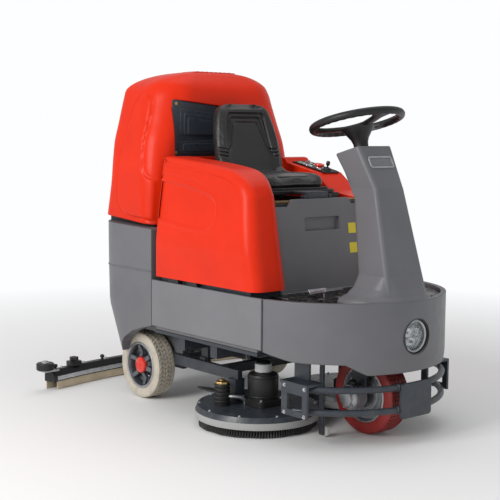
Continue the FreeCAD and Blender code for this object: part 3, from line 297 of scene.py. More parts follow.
CAD_LOOKS = {
    "steel": "chassis_frame seat_support_frame steering_fork brush_lift_frame squeegee_yoke",
    "bright": "rear_axle steering_shaft key_switch direction_lever roller_mounts",
    "grey": "rear_body_shell front_body column_badge",
    # The seat base panel takes the lighter panel grey as painted light against the column's shade.
    "panel": "side_panel_right side_panel_left seat_base_panel",
    "mat": "footwell_mat",
    "chrome": "headlamp_housing",
    "lens": "headlamp_lens",
    "cast": "accelerator_pedal pedal_base drive_motor drive_hub",
    "tray": "tank_window_panel",
    "black": "tank_lid control_panel battery_pack seat_pan brush_motors water_valves squeegee_body "
             "end_roller_right end_roller_left squeegee_knobs steering_wheel",
    "rubber": "tank_seat_gasket",
    "red": "right_side_cover left_side_cover recovery_tank",
    "green_cap": "start_button",
    "red_cap": "stop_button emergency_stop",
    "yellow": "panel_decals",
    "slate": "brush_decks front_bumper bumper_bracket_right bumper_bracket_left",
    "skirt": "brush_skirts",
    "white": "guard_caster_right guard_caster_left",
    "tan": "squeegee_blades",
    "vinyl": "seat_cushion seat_backrest",
    "cream": "rear_tyre_right rear_tyre_left",
    "dark_cast": "rear_rim_right rear_rim_left",
    "red_tread": "drive_tyre",
    "bristle": "scrub_brush_right scrub_brush_left",
}
for look, names in CAD_LOOKS.items():
    for node_name in names.split():
        mesh = NODES[node_name].data
        if not mesh.materials:
            mesh.materials.append(M[look])
        for index in range(len(mesh.materials)):
            mesh.materials[index] = M[look]


# ------------------------------------------------------------------ mesh makers
def make(name, verts, faces, looks, body, slot=None, replaces=(), smooth=35, bevel=None, subdivide=0,
         faces_look=None):
    """One piece from millimetre vertices, riding on a body."""
    mesh = bpy.data.meshes.new(name)
    mesh.from_pydata([(v[0] * MM, v[1] * MM, v[2] * MM) for v in verts], [], faces)
    looks = (looks,) if isinstance(looks, str) else looks
    for key in looks:
        mesh.materials.append(M[key])
    if faces_look is not None:
        mesh.polygons.foreach_set("material_index", faces_look)
    bm = bmesh.new()
    bm.from_mesh(mesh)
    bmesh.ops.remove_doubles(bm, verts=bm.verts, dist=1e-6)
    bmesh.ops.recalc_face_normals(bm, faces=bm.faces)
    bm.to_mesh(mesh)
    bm.free()
    obj = bpy.data.objects.new(name, mesh)
    bpy.context.scene.collection.objects.link(obj)
    soften(obj, smooth)
    if bevel:
        m = obj.modifiers.new("Bevel", "BEVEL")
        m.width, m.segments, m.limit_method, m.angle_limit = bevel * MM, 3, "ANGLE", radians(32)
    if subdivide:
        m = obj.modifiers.new("Subdivision", "SUBSURF")
        m.levels = m.render_levels = subdivide
    return seat(obj, body, slot, replaces)


def seat(obj, body, slot=None, replaces=()):
    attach(obj, body)
    if replaces:
        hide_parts(*replaces)
    return obj


def soften(obj, degrees):
    obj.data.shade_smooth()
    if degrees < 180:
        obj.data.set_sharp_from_angle(angle=radians(degrees))


def belt(i, j, n):
    """The faces between ring i and ring j of n points each."""
    return [(i * n + k, j * n + k, j * n + (k + 1) % n, i * n + (k + 1) % n) for k in range(n)]


def axes(along):
    """Two directions square to a unit direction, and the direction itself."""
    w = Vector(along).normalized()
    u = Vector(UP).cross(w) if abs(w.z) < 0.9 else Vector((1, 0, 0)).cross(w).cross(w) * -1
    u.normalize()
    return u, w.cross(u), w


def lathe(profile, spot, along, steps=48, ripple=None):
    """Closed ring of (radius, height) pairs turned about a line. ripple(angle, r, h) returns a new (r, h)."""
    u, v, w = axes(along)
    spot = Vector(spot)
    verts, faces, n = [], [], len(profile)
    for i in range(steps):
        a = 2 * pi * i / steps
        for r, h in profile:
            if ripple:
                r, h = ripple(a, r, h)
            verts.append(spot + (u * cos(a) + v * sin(a)) * r + w * h)
    for i in range(steps):
        j = (i + 1) % steps
        for k in range(n):
            m = (k + 1) % n
            faces.append((i * n + k, j * n + k, j * n + m, i * n + m))
    return verts, faces


def prism(points, plane, low, high):
    """Flat outline in a plane ('x', 'y' or 'z' is the direction across it) between two distances."""
    put = {"x": lambda a, b, c: (c, a, b), "y": lambda a, b, c: (a, c, b), "z": lambda a, b,
           c: (a, b, c)}[plane]
    n = len(points)
    verts = [put(a, b, low) for a, b in points] + [put(a, b, high) for a, b in points]
    faces = [tuple(range(n)), tuple(range(2 * n - 1, n - 1, -1))]
    faces += [(i, (i + 1) % n, (i + 1) % n + n, i + n) for i in range(n)]
    return verts, faces


def box(x0, x1, y0, y1, z0, z1):
    return prism([(x0, y0), (x1, y0), (x1, y1), (x0, y1)], "z", z0, z1)


def joined(*shapes):
    verts, faces = [], []
    for v, f in shapes:
        at = len(verts)
        verts += list(v)
        faces += [tuple(i + at for i in face) for face in f]
    return verts, faces


def moved(shape, matrix):
    return [matrix @ Vector(v) for v in shape[0]], shape[1]


def tube(points, radius, steps=10, closed=False, across=None):
    """A round tube along points. radius is a number or one for each point."""
    pts = [Vector(p) for p in points]
    n = len(pts)
    verts, faces = [], []
    up = Vector(across or UP)
    for i, p in enumerate(pts):
        before = pts[i - 1] if i or closed else p
        after = pts[(i + 1) % n] if i < n - 1 or closed else p
        w = (after - before).normalized()
        side = w.cross(up)
        if side.length < 0.2:
            side = w.cross(Vector((0.3, 1, 0.1)))
        side.normalize()
        top = side.cross(w).normalized()
        up = top if across is None else up
        r = radius[i] if hasattr(radius, "__len__") else radius
        verts += [p + side * (cos(2 * pi * k / steps) * r) + top * (sin(2 * pi * k / steps) * r)
                  for k in range(steps)]
    for i in range(n if closed else n - 1):
        j = (i + 1) % n
        faces += belt(i, j, steps)
    if not closed:
        faces += [tuple(range(steps)), tuple(range(len(verts) - steps, len(verts)))]
    return verts, faces


def smooth_line(points, per=8, closed=False):
    """Points along a smooth curve through the given ones."""
    pts = [Vector(p) for p in points]
    n, out = len(pts), []
    for i in range(n if closed else n - 1):
        a, b = pts[i], pts[(i + 1) % n]
        z = pts[i - 1] if i or closed else a
        c = pts[(i + 2) % n] if i < n - 2 or closed else b
        for k in range(per):
            t = k / per
            out.append(0.5 * (2 * a + (b - z) * t + (2 * z - 5 * a + 4 * b - c) * t * t
                              + (3 * a - z - 3 * b + c) * t ** 3))
    return out if closed else out + [pts[-1]]


def rounded(points, radius, steps=6):
    """A 2-D outline with its corners rounded."""
    out, n = [], len(points)
    for i, p in enumerate(points):
        p, a, b = Vector(p), Vector(points[i - 1]), Vector(points[(i + 1) % n])
        r = radius[i] if hasattr(radius, "__len__") else radius
        start, end = p + (a - p).normalized() * r, p + (b - p).normalized() * r
        for k in range(steps + 1):
            t = k / steps
            out.append(tuple((1 - t) ** 2 * start + 2 * t * (1 - t) * p + t * t * end))
    return out


def oblong(x0, x1, y0, y1, radius, steps=6):
    """A rectangle with rounded corners."""
    return rounded([(x0, y0), (x1, y0), (x1, y1), (x0, y1)], radius, steps)


def screws(name, spots, along, radius, height, key, body, sides=6, washer=1.6):
    """Hexagon heads on washers."""
    shapes = []
    for spot in spots:
        w = Vector(along).normalized()
        shapes.append(lathe([(0, 0), (radius * washer, 0), (radius * washer, height * 0.22),
                             (0, height * 0.22)], spot, along, 20))
        shapes.append(lathe([(0, 0), (radius, 0), (radius, height), (radius * 0.8, height * 1.12),
                             (0, height * 1.12)],
                            Vector(spot) + w * height * 0.22, along, sides))
    return make(name, *joined(*shapes), key, body, smooth=30)


def step(x, low, high):
    t = np.clip((x - low) / (high - low), 0, 1)
    return t * t * (3 - 2 * t)


def hermite(knots, values, t):
    """Smooth curve through values with no overshoot."""
    k, v = np.array(knots, float), np.array(values, float)
    slope = np.diff(v) / np.diff(k)
    m = np.zeros(len(v))
    m[0], m[-1] = slope[0], slope[-1]
    for i in range(1, len(v) - 1):
        if slope[i - 1] * slope[i] > 0:
            m[i] = 2 * slope[i - 1] * slope[i] / (slope[i - 1] + slope[i])
    i = np.clip(np.searchsorted(k, t, "right") - 1, 0, len(k) - 2)
    h = k[i + 1] - k[i]
    s = (t - k[i]) / h
    return ((2 * s ** 3 - 3 * s * s + 1) * v[i] + (s ** 3 - 2 * s * s + s) * h * m[i]
            + (-2 * s ** 3 + 3 * s * s) * v[i + 1] + (s ** 3 - s * s) * h * m[i + 1])


def to_line(px, pz, line):
    """Distance of points to a polyline, all in one plane."""
    best = np.full(px.shape, 1e9)
    for (x0, z0), (x1, z1) in zip(line[:-1], line[1:]):
        dx, dz = x1 - x0, z1 - z0
        t = np.clip(((px - x0) * dx + (pz - z0) * dz) / (dx * dx + dz * dz), 0, 1)
        best = np.minimum(best, np.hypot(px - x0 - t * dx, pz - z0 - t * dz))
    return best


def from_edge(px, pz, outline):
    """Distance from a closed outline, positive inside it."""
    inside = np.zeros(px.shape, bool)
    for (x0, z0), (x1, z1) in zip(outline, outline[1:] + outline[:1]):
        inside ^= ((z0 > pz) != (z1 > pz)) & (px < (x1 - x0) * (pz - z0) / (z1 - z0 + 1e-9) + x0)
    away = to_line(px, pz, outline + outline[:1])
    return np.where(inside, away, -away)


def stacked(*rings):
    """Closed rings of equal length, joined one to the next."""
    n = len(rings[0])
    faces = [(i + r * n, (i + 1) % n + r * n, (i + 1) % n + (r + 1) * n, i + (r + 1) * n)
             for r in range(len(rings) - 1) for i in range(n)]
    return [v for ring in rings for v in ring], faces


def two_sided(front, back, n, m):
    """Two grids of n by m cells closed round their rims."""
    faces, w, at = [], m + 1, len(front)
    for i in range(n):
        for j in range(m):
            q = (i * w + j, (i + 1) * w + j, (i + 1) * w + j + 1, i * w + j + 1)
            faces += [q, tuple(k + at for k in reversed(q))]
    rim = [i * w for i in range(n + 1)] + [n * w + j for j in range(1, w)]
    rim += [i * w + m for i in range(n - 1, -1, -1)] + list(range(m - 1, 0, -1))
    faces += [(p, q, q + at, p + at) for p, q in zip(rim, rim[1:] + rim[:1])]
    return front + back, faces


# ------------------------------------------------------------------ recovery tank
def tank():
    rings = [(734, -600, -250, 396, 56, 60), (930, -581, -250, 386, 58, 76), (1054, -581, -250, 375, 60, 100),
             (1154, -581, -250, 350, 60, 128), (1247, -581, -252, 325, 58, 146),
             (1282, -576, -256, 312, 48, 146),
             (1306, -555, -266, 293, 42, 128), (1334, -507, -288, 243, 36, 100),
             (1350, -465, -304, 185, 32, 76),
             (1358, -435, -320, 130, 28, 54)]
    knots = [0.0]
    for a, b in zip(rings[:-1], rings[1:]):
        knots.append(knots[-1] + hypot(b[0] - a[0], b[3] - a[3]))
    t = np.concatenate([np.linspace(0, knots[4], 130, endpoint=False), np.linspace(knots[4], knots[-1], 46)])
    z, rear, front, half, rr, fr = [hermite(knots, [r[i] for r in rings], t)[:, None] for i in range(6)]
    quarter = lambda n: np.linspace(0, pi / 2, n, endpoint=False)[None, :]
    line = lambda n: np.linspace(0, 1, n, endpoint=False)[None, :]
    runs = []
    for n, kind in ((96, "side"), (26, "fr"), (64, "front"), (26, "fl"), (96, "left"), (10, "rl"),
                    (36, "rear"), (10, "rr")):
        s, a = line(n), quarter(n)
        if kind == "side":
            runs.append((rear + rr + (front - fr - rear - rr) * s, -half + 0 * s))
        elif kind == "fr":
            runs.append((front - fr + fr * np.sin(a), -half + fr - fr * np.cos(a)))
        elif kind == "front":
            runs.append((front + 0 * s, (-half + fr) * (1 - s) + (half - fr) * s))
        elif kind == "fl":
            runs.append((front - fr + fr * np.cos(a), half - fr + fr * np.sin(a)))
        elif kind == "left":
            runs.append(((front - fr) * (1 - s) + (rear + rr) * s, half + 0 * s))
        elif kind == "rl":
            runs.append((rear + rr - rr * np.sin(a), half - rr + rr * np.cos(a)))
        elif kind == "rear":
            runs.append((rear + 0 * s, (half - rr) * (1 - s) + (-half + rr) * s))
        else:
            runs.append((rear + rr - rr * np.cos(a), -half + rr - rr * np.sin(a)))
    x = np.concatenate([r[0] for r in runs], 1)
    y = np.concatenate([r[1] for r in runs], 1)
    z = z + 0 * x
    floor = 734 + 27 * (-250 - x) / 350
    z = np.where(z < 930, floor + (z - 734) * (930 - floor) / 196, z)
    p = np.stack([x, y, z], 2)
    du = np.roll(p, -1, 1) - np.roll(p, 1, 1)
    dv = np.gradient(p, axis=0)
    normal = np.cross(du, dv)
    normal /= np.linalg.norm(normal, axis=2, keepdims=True) + 1e-9
    # A shallow raised leaf on each flank, and a soft crease where it turns to the front.
    leaf = [(-390, 1262), (-424, 1240), (-444, 1196), (-461, 1120), (-478, 1010), (-489, 915), (-488, 856),
            (-470, 806),
            (-430, 776), (-372, 764), (-300, 762), (-238, 762), (-238, 906), (-262, 912), (-300, 926),
            (-322, 962),
            (-330, 1050), (-334, 1150), (-344, 1222), (-362, 1252), (-390, 1262)]
    signed = from_edge(x, z, [tuple(v) for v in smooth_line([Vector(q) for q in leaf[:-1]], 4, True)])
    on_flank = step(np.abs(normal[:, :, 1]), 0.45, 0.75)
    lift = 6.0 * step(signed, -4, 5) * on_flank - 2.2 * np.exp(-(signed + 7) ** 2 / 20) * on_flank
    p = p + normal * lift[:, :, None]
    rows, cols = x.shape
    verts = [tuple(v) for v in p.reshape(-1, 3)]
    faces = [(r * cols + c, r * cols + (c + 1) % cols, (r + 1) * cols + (c + 1) % cols, (r + 1) * cols + c)
             for r in range(rows - 1) for c in range(cols)]
    faces.append(tuple(range((rows - 1) * cols, rows * cols)))
    faces.append(tuple(range(cols - 1, -1, -1)))
    obj = make("tank_body", verts, faces, "red", "tank", "red_body", ("recovery_tank",), smooth=38)
    hole = rounded([(-272, 1008), (150, 1008), (150, 1160), (10, 1160), (10, 1214), (-272, 1242)],
                   [10, 10, 10, 14, 14, 16], 5)
    cutter = make("window_cutter", *prism(hole, "x", -274, -200), "red", "tank")
    cut = obj.modifiers.new("Window", "BOOLEAN")
    cut.object, cut.operation, cut.solver = cutter, "DIFFERENCE", "EXACT"
    bpy.context.view_layer.objects.active = obj
    bpy.ops.object.modifier_apply(modifier=cut.name)
    bpy.data.objects.remove(cutter)
    soften(obj, 38)
    # Dark moulded panel in the window, with stepped ribs.
    shapes = [prism(rounded([(-270.5, 1010), (148, 1010), (148, 1158), (8, 1158), (8, 1213),
                             (-270.5, 1240.5)], 8, 4), "x", -273.5, -266)]
    for inset, deep in ((22, -263), (40, -260), (58, -257)):
        shapes.append(prism(rounded([(-270 + inset + 14, 1098), (130, 1098), (130, 1156 - inset),
                                     (-6, 1156 - inset), (-12, 1204 - inset),
                                     (-270 + inset + 14, 1226 - inset)], 9, 4), "x", -267, deep))
    shapes.append(prism(rounded([(-236, 1020), (130, 1020), (130, 1078), (-236, 1070)], 8, 4), "x", -267,
                        -261))
    shapes.append(prism(rounded([(-222, 1030), (116, 1030), (116, 1066), (-222, 1060)], 8, 4), "x", -262,
                        -258.5))
    make("window_tray", *joined(*shapes), "tray", "tank", "slate", ("tank_window_panel",), bevel=1.6)
    screws("window_screws", [(-265.5, -254, 1224), (-265.5, -254, 1024)], (1, 0, 0), 4.5, 3, "brass", "tank")
    # Hinged lid with ribs, a short seam beside it and the grip at the back.
    lid = [prism(oblong(-431, -324, -108, 108, 14), "z", 1358.3, 1361.2)]
    lid += [prism(oblong(-420, -336, y - 4, y + 4, 3, 3), "z", 1361, 1363.4) for y in range(-84, 85, 24)]
    make("lid_ribbed", *joined(*lid), "red", "lid", "black_plastic", ("tank_lid",), bevel=0.8)
    make("tank_trim", *tube(smooth_line([(-468, -150, 1349), (-488, -190, 1342), (-512, -228, 1331)], 6),
                            2.0, 8),
         "black", "tank", "black_plastic")
    make("tank_grip", *joined(tube(smooth_line([(-590, -90, 1180), (-616, -86, 1182), (-622, 0, 1184),
                                                (-616, 86, 1182), (-590, 90, 1180)], 8), 9, 12),
                              lathe([(0, 0), (17, 0), (17, 5), (0, 7)], (-591, -90, 1180), (-1, 0, 0), 24),
                              lathe([(0, 0), (17, 0), (17, 5), (0, 7)], (-591, 90, 1180), (-1, 0, 0), 24)),
         "black", "tank", "black_plastic")


tank()


# ------------------------------------------------------------------ side cover
def side_cover():
    """The right arm cover: a rolled moulding with a crowned top, rounded ends and a sunk band."""
    low, outer, span = 538.0, -423.0, 177
    spine = smooth_line([Vector(p) for p in ((-177, 1012), (60, 994), (200, 977), (262, 963), (310, 942),
                                             (345, 914), (366, 878))], 10)
    lengths = np.concatenate([[0], np.cumsum([(b - a).length for a, b in zip(spine[:-1], spine[1:])])])
    spine = np.array([tuple(p) for p in spine])
    across = np.concatenate([np.linspace(0, 0.04, 6, endpoint=False),
                             np.linspace(0.04, 0.70, 84, endpoint=False), np.linspace(0.70, 1, 40)])
    rise = np.concatenate([np.linspace(0, 0.84, 110, endpoint=False), np.linspace(0.84, 1, 24)])
    na, nt = len(across), len(rise)
    top = np.stack([np.interp(across * lengths[-1], lengths, spine[:, i]) for i in (0, 1)], 1)
    base = np.stack([-177 + 612 * across, np.full(na, low)], 1)
    rim = [base[0] + (top[0] - base[0]) * t for t in rise] + [top[i] for i in range(1, na)]
    rim = np.array(rim + [base[-1] + (top[-1] - base[-1]) * t for t in rise[-2::-1]])
    ahead = np.gradient(rim, axis=0)
    out = np.stack([-ahead[:, 1], ahead[:, 0]], 1)
    for _ in range(6):
        out[1:-1] = (out[:-2] + out[1:-1] * 2 + out[2:]) / 4
    out /= np.linalg.norm(out, axis=1, keepdims=True)
    facing = np.clip(out[:, 0], -1, 1)
    ends = step(facing, 0.25, 0.9), step(-facing, 0.5, 0.95)

    def roll(e, r):
        """How far an edge rounded by a radius has fallen away at a distance from the flank."""
        return r * (1 - sqrt(max(0.0, 1 - (1 - min(1.0, e / r)) ** 2)))

    slices = [0, 1.2, 3, 5.5, 9, 13, 18, 24, 31, 40, 52, 66, 84, 100, 112, 124, 135, 145, 154, 162, 168,
              173, 176, 177]
    rings = []
    for e in slices:
        far = span - e
        up = roll(e, 36) + roll(far, 10)
        front = roll(e, 50) + roll(far, 58)
        rear = roll(e, 9) + roll(far, 6)
        depth = up + (front - up) * ends[0] + (rear - up) * ends[1]
        ring = rim - out * depth[:, None]
        ring[0, 1] = ring[-1, 1] = low
        ring[:, 1] = np.maximum(ring[:, 1], low)
        rings.append(ring)

    def lean(z):
        """How far the flank leans in at a height."""
        return 42 * np.clip((z - 670) / 330, 0, 1) ** 1.25

    verts, faces, n = [], [], len(rim)
    for e, ring in zip(slices, rings):
        verts += [(x, outer + e + (1 - e / span) * float(lean(z)), z) for x, z in ring]
    for k in range(len(slices) - 1):
        faces += [(k * n + i, k * n + i + 1, (k + 1) * n + i + 1, (k + 1) * n + i) for i in range(n - 1)]
    # The flank, filled between its rim and the lower edge.
    first = rings[0]
    left, right, upper = first[:nt], first[nt + na - 2:][::-1], first[nt - 1:nt + na - 1]
    lower = np.stack([np.linspace(left[0, 0], right[0, 0], na), np.full(na, low)], 1)
    lower[:, 0] = left[0, 0] + (right[0, 0] - left[0, 0]) * across
    a, t = across[:, None, None], rise[None, :, None]
    grid = ((1 - t) * lower[:, None] + t * upper[:, None] + (1 - a) * left[None] + a * right[None]
            - (1 - a) * (1 - t) * left[0] - a * (1 - t) * right[0] - (1 - a) * t * left[-1]
            - a * t * right[-1])
    band = smooth_line([Vector(p) for p in ((-230, 918), (-165, 915), (-55, 906), (53, 890), (133, 872),
                                            (172, 852), (186, 822), (182, 785), (160, 757),
                                            (124, 744), (41, 747), (-55, 756), (-165, 767), (-230, 772))], 5)
    gx, gz = grid[:, :, 0], grid[:, :, 1]
    signed = from_edge(gx, gz, [tuple(p) for p in band])
    hold = step(gx, -177, -172)
    sunk = (6.5 * step(signed, -3, 6) - 2.0 * np.exp(-(signed + 8) ** 2 / 26)) * hold
    bead = to_line(gx, gz, [(-177, 941), (-90, 938), (40, 922), (120, 905)])
    sunk = sunk + 1.8 * np.exp(-(bead / 4.5) ** 2) * hold * step(120 - gx, 0, 60)
    at = len(verts)
    verts += [(gx[i, j], outer + float(lean(gz[i, j])) + sunk[i, j], gz[i, j]) for i in range(na)
              for j in range(nt)]
    faces += [(at + i * nt + j, at + (i + 1) * nt + j, at + (i + 1) * nt + j + 1, at + i * nt + j + 1)
              for i in range(na - 1) for j in range(nt - 1)]
    last = (len(slices) - 1) * n
    faces.append(tuple(last + i for i in range(n)))
    make("arm_cover", verts, faces, "red", "machine", "red_body", ("right_side_cover",), smooth=48)


side_cover()


# ------------------------------------------------------------------ seat
def padded_shape(name, verts, faces, cap, body, slot, replaces):
    """A cushion blown up a little by a cloth simulation, no point moving further than a cap."""
    obj = make(name, verts, faces, "vinyl", body, slot, replaces, smooth=180)
    world = obj.matrix_world.copy()
    obj.parent = None
    obj.matrix_world = world
    bpy.context.view_layer.objects.active = obj
    remesh = obj.modifiers.new("Remesh", "REMESH")
    remesh.mode, remesh.voxel_size = "VOXEL", 0.006
    bpy.ops.object.modifier_apply(modifier=remesh.name)
    before = np.array([v.co for v in obj.data.vertices])
    cloth = obj.modifiers.new("Cloth", "CLOTH")
    s = cloth.settings
    s.quality, s.mass, s.air_damping = 4, 0.3, 2.0
    s.tension_stiffness = s.compression_stiffness = s.shear_stiffness = 18
    s.bending_stiffness = 0.6
    s.use_pressure, s.uniform_pressure_force = True, 4.0
    s.effector_weights.gravity = 0
    cloth.collision_settings.use_collision = False
    for number in range(1, 21):
        bpy.context.scene.frame_set(number)
    got = obj.evaluated_get(bpy.context.evaluated_depsgraph_get())
    after = np.array([v.co for v in got.to_mesh().vertices])
    got.to_mesh_clear()
    obj.modifiers.remove(cloth)
    bpy.context.scene.frame_set(1)
    shift = after - before
    size = np.linalg.norm(shift, axis=1, keepdims=True)
    shift *= np.minimum(1, cap * MM / np.maximum(size, 1e-9))
    before = before + shift
    obj.data.vertices.foreach_set("co", before.ravel())
    subdivide = obj.modifiers.new("Subdivision", "SUBSURF")
    subdivide.levels = 1
    bpy.ops.object.modifier_apply(modifier=subdivide.name)
    obj.data.update()
    obj.data.shade_smooth()
    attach(obj, body)
    return obj


def pressed(obj, change):
    """Moves the vertices by change(points in mm, normals) in mm along the normals."""
    mesh = obj.data
    n = len(mesh.vertices)
    co, no = np.empty(n * 3), np.empty(n * 3)
    mesh.vertices.foreach_get("co", co)
    mesh.vertices.foreach_get("normal", no)
    co, no = co.reshape(-1, 3), no.reshape(-1, 3)
    co = co + no * change(co / MM, no)[:, None] * MM
    mesh.vertices.foreach_set("co", co.ravel())
    mesh.update()


def seat_parts():
    # Cushion: a rolled front edge, low side bolsters and a tail that climbs into the backrest.
    n, m = 40, 36
    top, bottom = [], []
    for i in range(n + 1):
        for j in range(m + 1):
            a, b = i / n * 2 - 1, j / m * 2 - 1
            x = 58 + 146 * a
            wide = 176 - 46 * max(0, (a - 0.55) / 0.45) ** 2.2
            y = wide * b
            edge = max(abs(a) if a > 0 else 0, abs(b))
            drop = 24 * max(0, (edge - 0.80) / 0.20) ** 2
            bolster = 9 * float(step(np.array(abs(b)), 0.45, 0.8))
            corner = 26 * max(0, (-0.35 - a) / 0.65) * max(0, abs(b) - 0.6) / 0.4
            tail = 30 * max(0, (-0.55 - a) / 0.45) ** 1.6 + corner
            top.append((x, y, 930 + 7 * (1 - b * b) * (1 - a * a) + bolster + tail - drop))
            bottom.append((x, y * 0.97, 894 + 8 * max(0, (edge - 0.85) / 0.15)))
    cushion = padded_shape("cushion_pad", *two_sided(top, bottom, n, m), 7, "seat", "seat_vinyl",
                           ("seat_cushion",))
    rows = [[(-40, -120), (150, -112)], [(-40, 120), (150, 112)],
            [(150, -112), (172, -60), (176, 0), (172, 60), (150, 112)]]
    welts = [[tuple(v) for v in smooth_line([Vector(q) for q in row], 8)] for row in rows]

    def seams(p, normal):
        up = step(normal[:, 2], 0.3, 0.7)
        out = np.zeros(len(p))
        for welt in welts:
            d = to_line(p[:, 0], p[:, 1], welt)
            out -= 3.4 * np.exp(-(d / 3.6) ** 2)
        hem = np.abs(p[:, 2] - 912)
        return out * up - 2.2 * np.exp(-(hem / 3.0) ** 2) * (1 - up)

    pressed(cushion, seams)

    # Backrest: a leaning shell with forward rolls down both edges.
    shape_z = [905, 945, 1005, 1067, 1120, 1172, 1204, 1222, 1232]
    shape_w = [150, 166, 170, 167, 158, 144, 128, 106, 66]
    n, m = 48, 40
    front, back = [], []
    for i in range(n + 1):
        z = 905 + (1232 - 905) * sin(i / n * pi / 2) ** 0.9
        half = float(hermite(shape_z, shape_w, np.array(z)))
        lean = -76 - (z - 945) * 0.262 + 16 * max(0, (965 - z) / 60) ** 1.5
        end = 26 * (max(0, (z - 1196) / 36)) ** 2
        for j in range(m + 1):
            b = j / m * 2 - 1
            y = half * b
            roll = 21 * float(step(np.array(abs(b)), 0.60, 0.88)) - 15 * max(0, (abs(b) - 0.9) / 0.1) ** 2
            over = 15 * float(step(np.array(z), 1160, 1212)) - end
            dish = -7 * (1 - b * b)
            front.append((lean + max(roll, min(over, 15)) + dish - end * 0.4, y, z))
            back.append((lean - 44 + end * 0.5 + 10 * b * b + 12 * max(0, (abs(b) - 0.9) / 0.1) ** 2, y,
                         z - 3))
    rest = padded_shape("backrest_pad", *two_sided(front, back, n, m), 6, "seat", "seat_vinyl",
                        ("seat_backrest",))
    nested = []
    for low, wide, high, narrow in ((1006, 112, 1186, 92), (1020, 104, 1168, 78), (1034, 96, 1150, 64)):
        nested.append([tuple(v) for v in rounded([(-162, low + 10), (-wide - 6, low), (-narrow, high),
                                                  (narrow, high), (wide + 6, low), (162, low + 10)],
                                                 [0.1, 24, 14, 14, 24, 0.1], 8)])

    def stitched(p, normal):
        ahead = step(normal[:, 0], 0.1, 0.5)
        out = np.zeros(len(p))
        for row in nested:
            d = to_line(p[:, 1], p[:, 2], row)
            out -= 4.2 * np.exp(-(d / 3.4) ** 2) - 1.2 * np.exp(-((d - 8) / 4) ** 2)
        return out * ahead

    pressed(rest, stitched)

    # Thread along the quilting, laid on the finished surface.
    tree = BVHTree.FromObject(rest, bpy.context.evaluated_depsgraph_get())
    threads = []
    for row in nested:
        line = []
        for y, z in row:
            hit = tree.ray_cast(Vector((0.2, y * MM, z * MM)), Vector((-1, 0, 0)))[0]
            if hit is not None:
                line.append((hit.x / MM + 0.5, y, z))
        threads.append(tube(line, 0.9, 6))
    make("quilt_thread", *joined(*threads), "rubber", "seat", "seat_vinyl", smooth=60)
    # Pan under the seat, a rubber strip between pan and cushion, and a steel hinge tongue with its pin.
    make("seat_tray", *joined(prism(oblong(-178, 230, -194, 194, 58, 8), "z", 870.5, 885.5)),
         "black", "seat", "black_plastic", ("seat_pan",), bevel=3)
    make("seat_strip", *prism(oblong(-130, 212, -170, 170, 50, 8), "z", 885, 894), "rubber", "seat",
         "black_plastic", bevel=2)
    make("seat_hinge_tongue", *joined(box(172, 309, -56, 56, 874.5, 883.5), box(295, 309, -56, 56, 856, 876),
                                      lathe([(0, 0), (5, 0), (5, 152), (0, 152)], (302, -76, 864),
                                            (0, 1, 0), 20)), "steel", "seat", "steel_frame", bevel=1.5)


seat_parts()


# ------------------------------------------------------------------ wheels
def treaded(spot, radius, width, bands, count, shear, gap, depth, profile, key_top, groove_shade_look, name, body,
            slot, node):
    """A tyre whose tread cells are inset and stand off its carcass; the groove floors between them take the
    darker look, which is painted shade.
    """
    half = width / 2
    edges = [half * (2 * k / bands - 1) * 0.86 for k in range(bands + 1)]
    mid = [(radius - depth, e) for e in edges]
    ring = [(r, -h) for r, h in reversed(profile)] + mid + profile
    verts, faces = [], []
    n = len(ring)
    first = len(profile)
    for i in range(count):
        for k, (r, h) in enumerate(ring):
            twist = shear * (0.5 if (k - first) % 2 and first <= k < first + bands + 1 else 0.0)
            a = 2 * pi * (i + twist) / count
            verts.append((spot[0] + r * cos(a), spot[1] + h, spot[2] + r * sin(a)))
    tread = []
    for i in range(count):
        j = (i + 1) % count
        for k in range(n):
            m = (k + 1) % n
            faces.append((i * n + k, i * n + m, j * n + m, j * n + k))
            tread.append(first <= k < first + bands)
    obj = make(name, verts, faces, (key_top, groove_shade_look), body, slot, (node,), smooth=180,
               faces_look=[1 if t else 0 for t in tread])
    bm = bmesh.new()
    bm.from_mesh(obj.data)
    cells = [f for f in bm.faces if f.material_index == 1]
    bmesh.ops.inset_individual(bm, faces=cells, thickness=gap * MM, depth=0.0)
    made = bmesh.ops.inset_individual(bm, faces=cells, thickness=0.7 * MM, depth=depth * 0.96 * MM)
    for f in cells:
        # Cell tops and walls take the tyre look; only the groove floors keep the darker look, painted shade
        # in the grooves.
        f.material_index = 0
    for f in made["faces"]:
        f.material_index = 0
    bm.to_mesh(obj.data)
    bm.free()
    soften(obj, 40)
    return obj


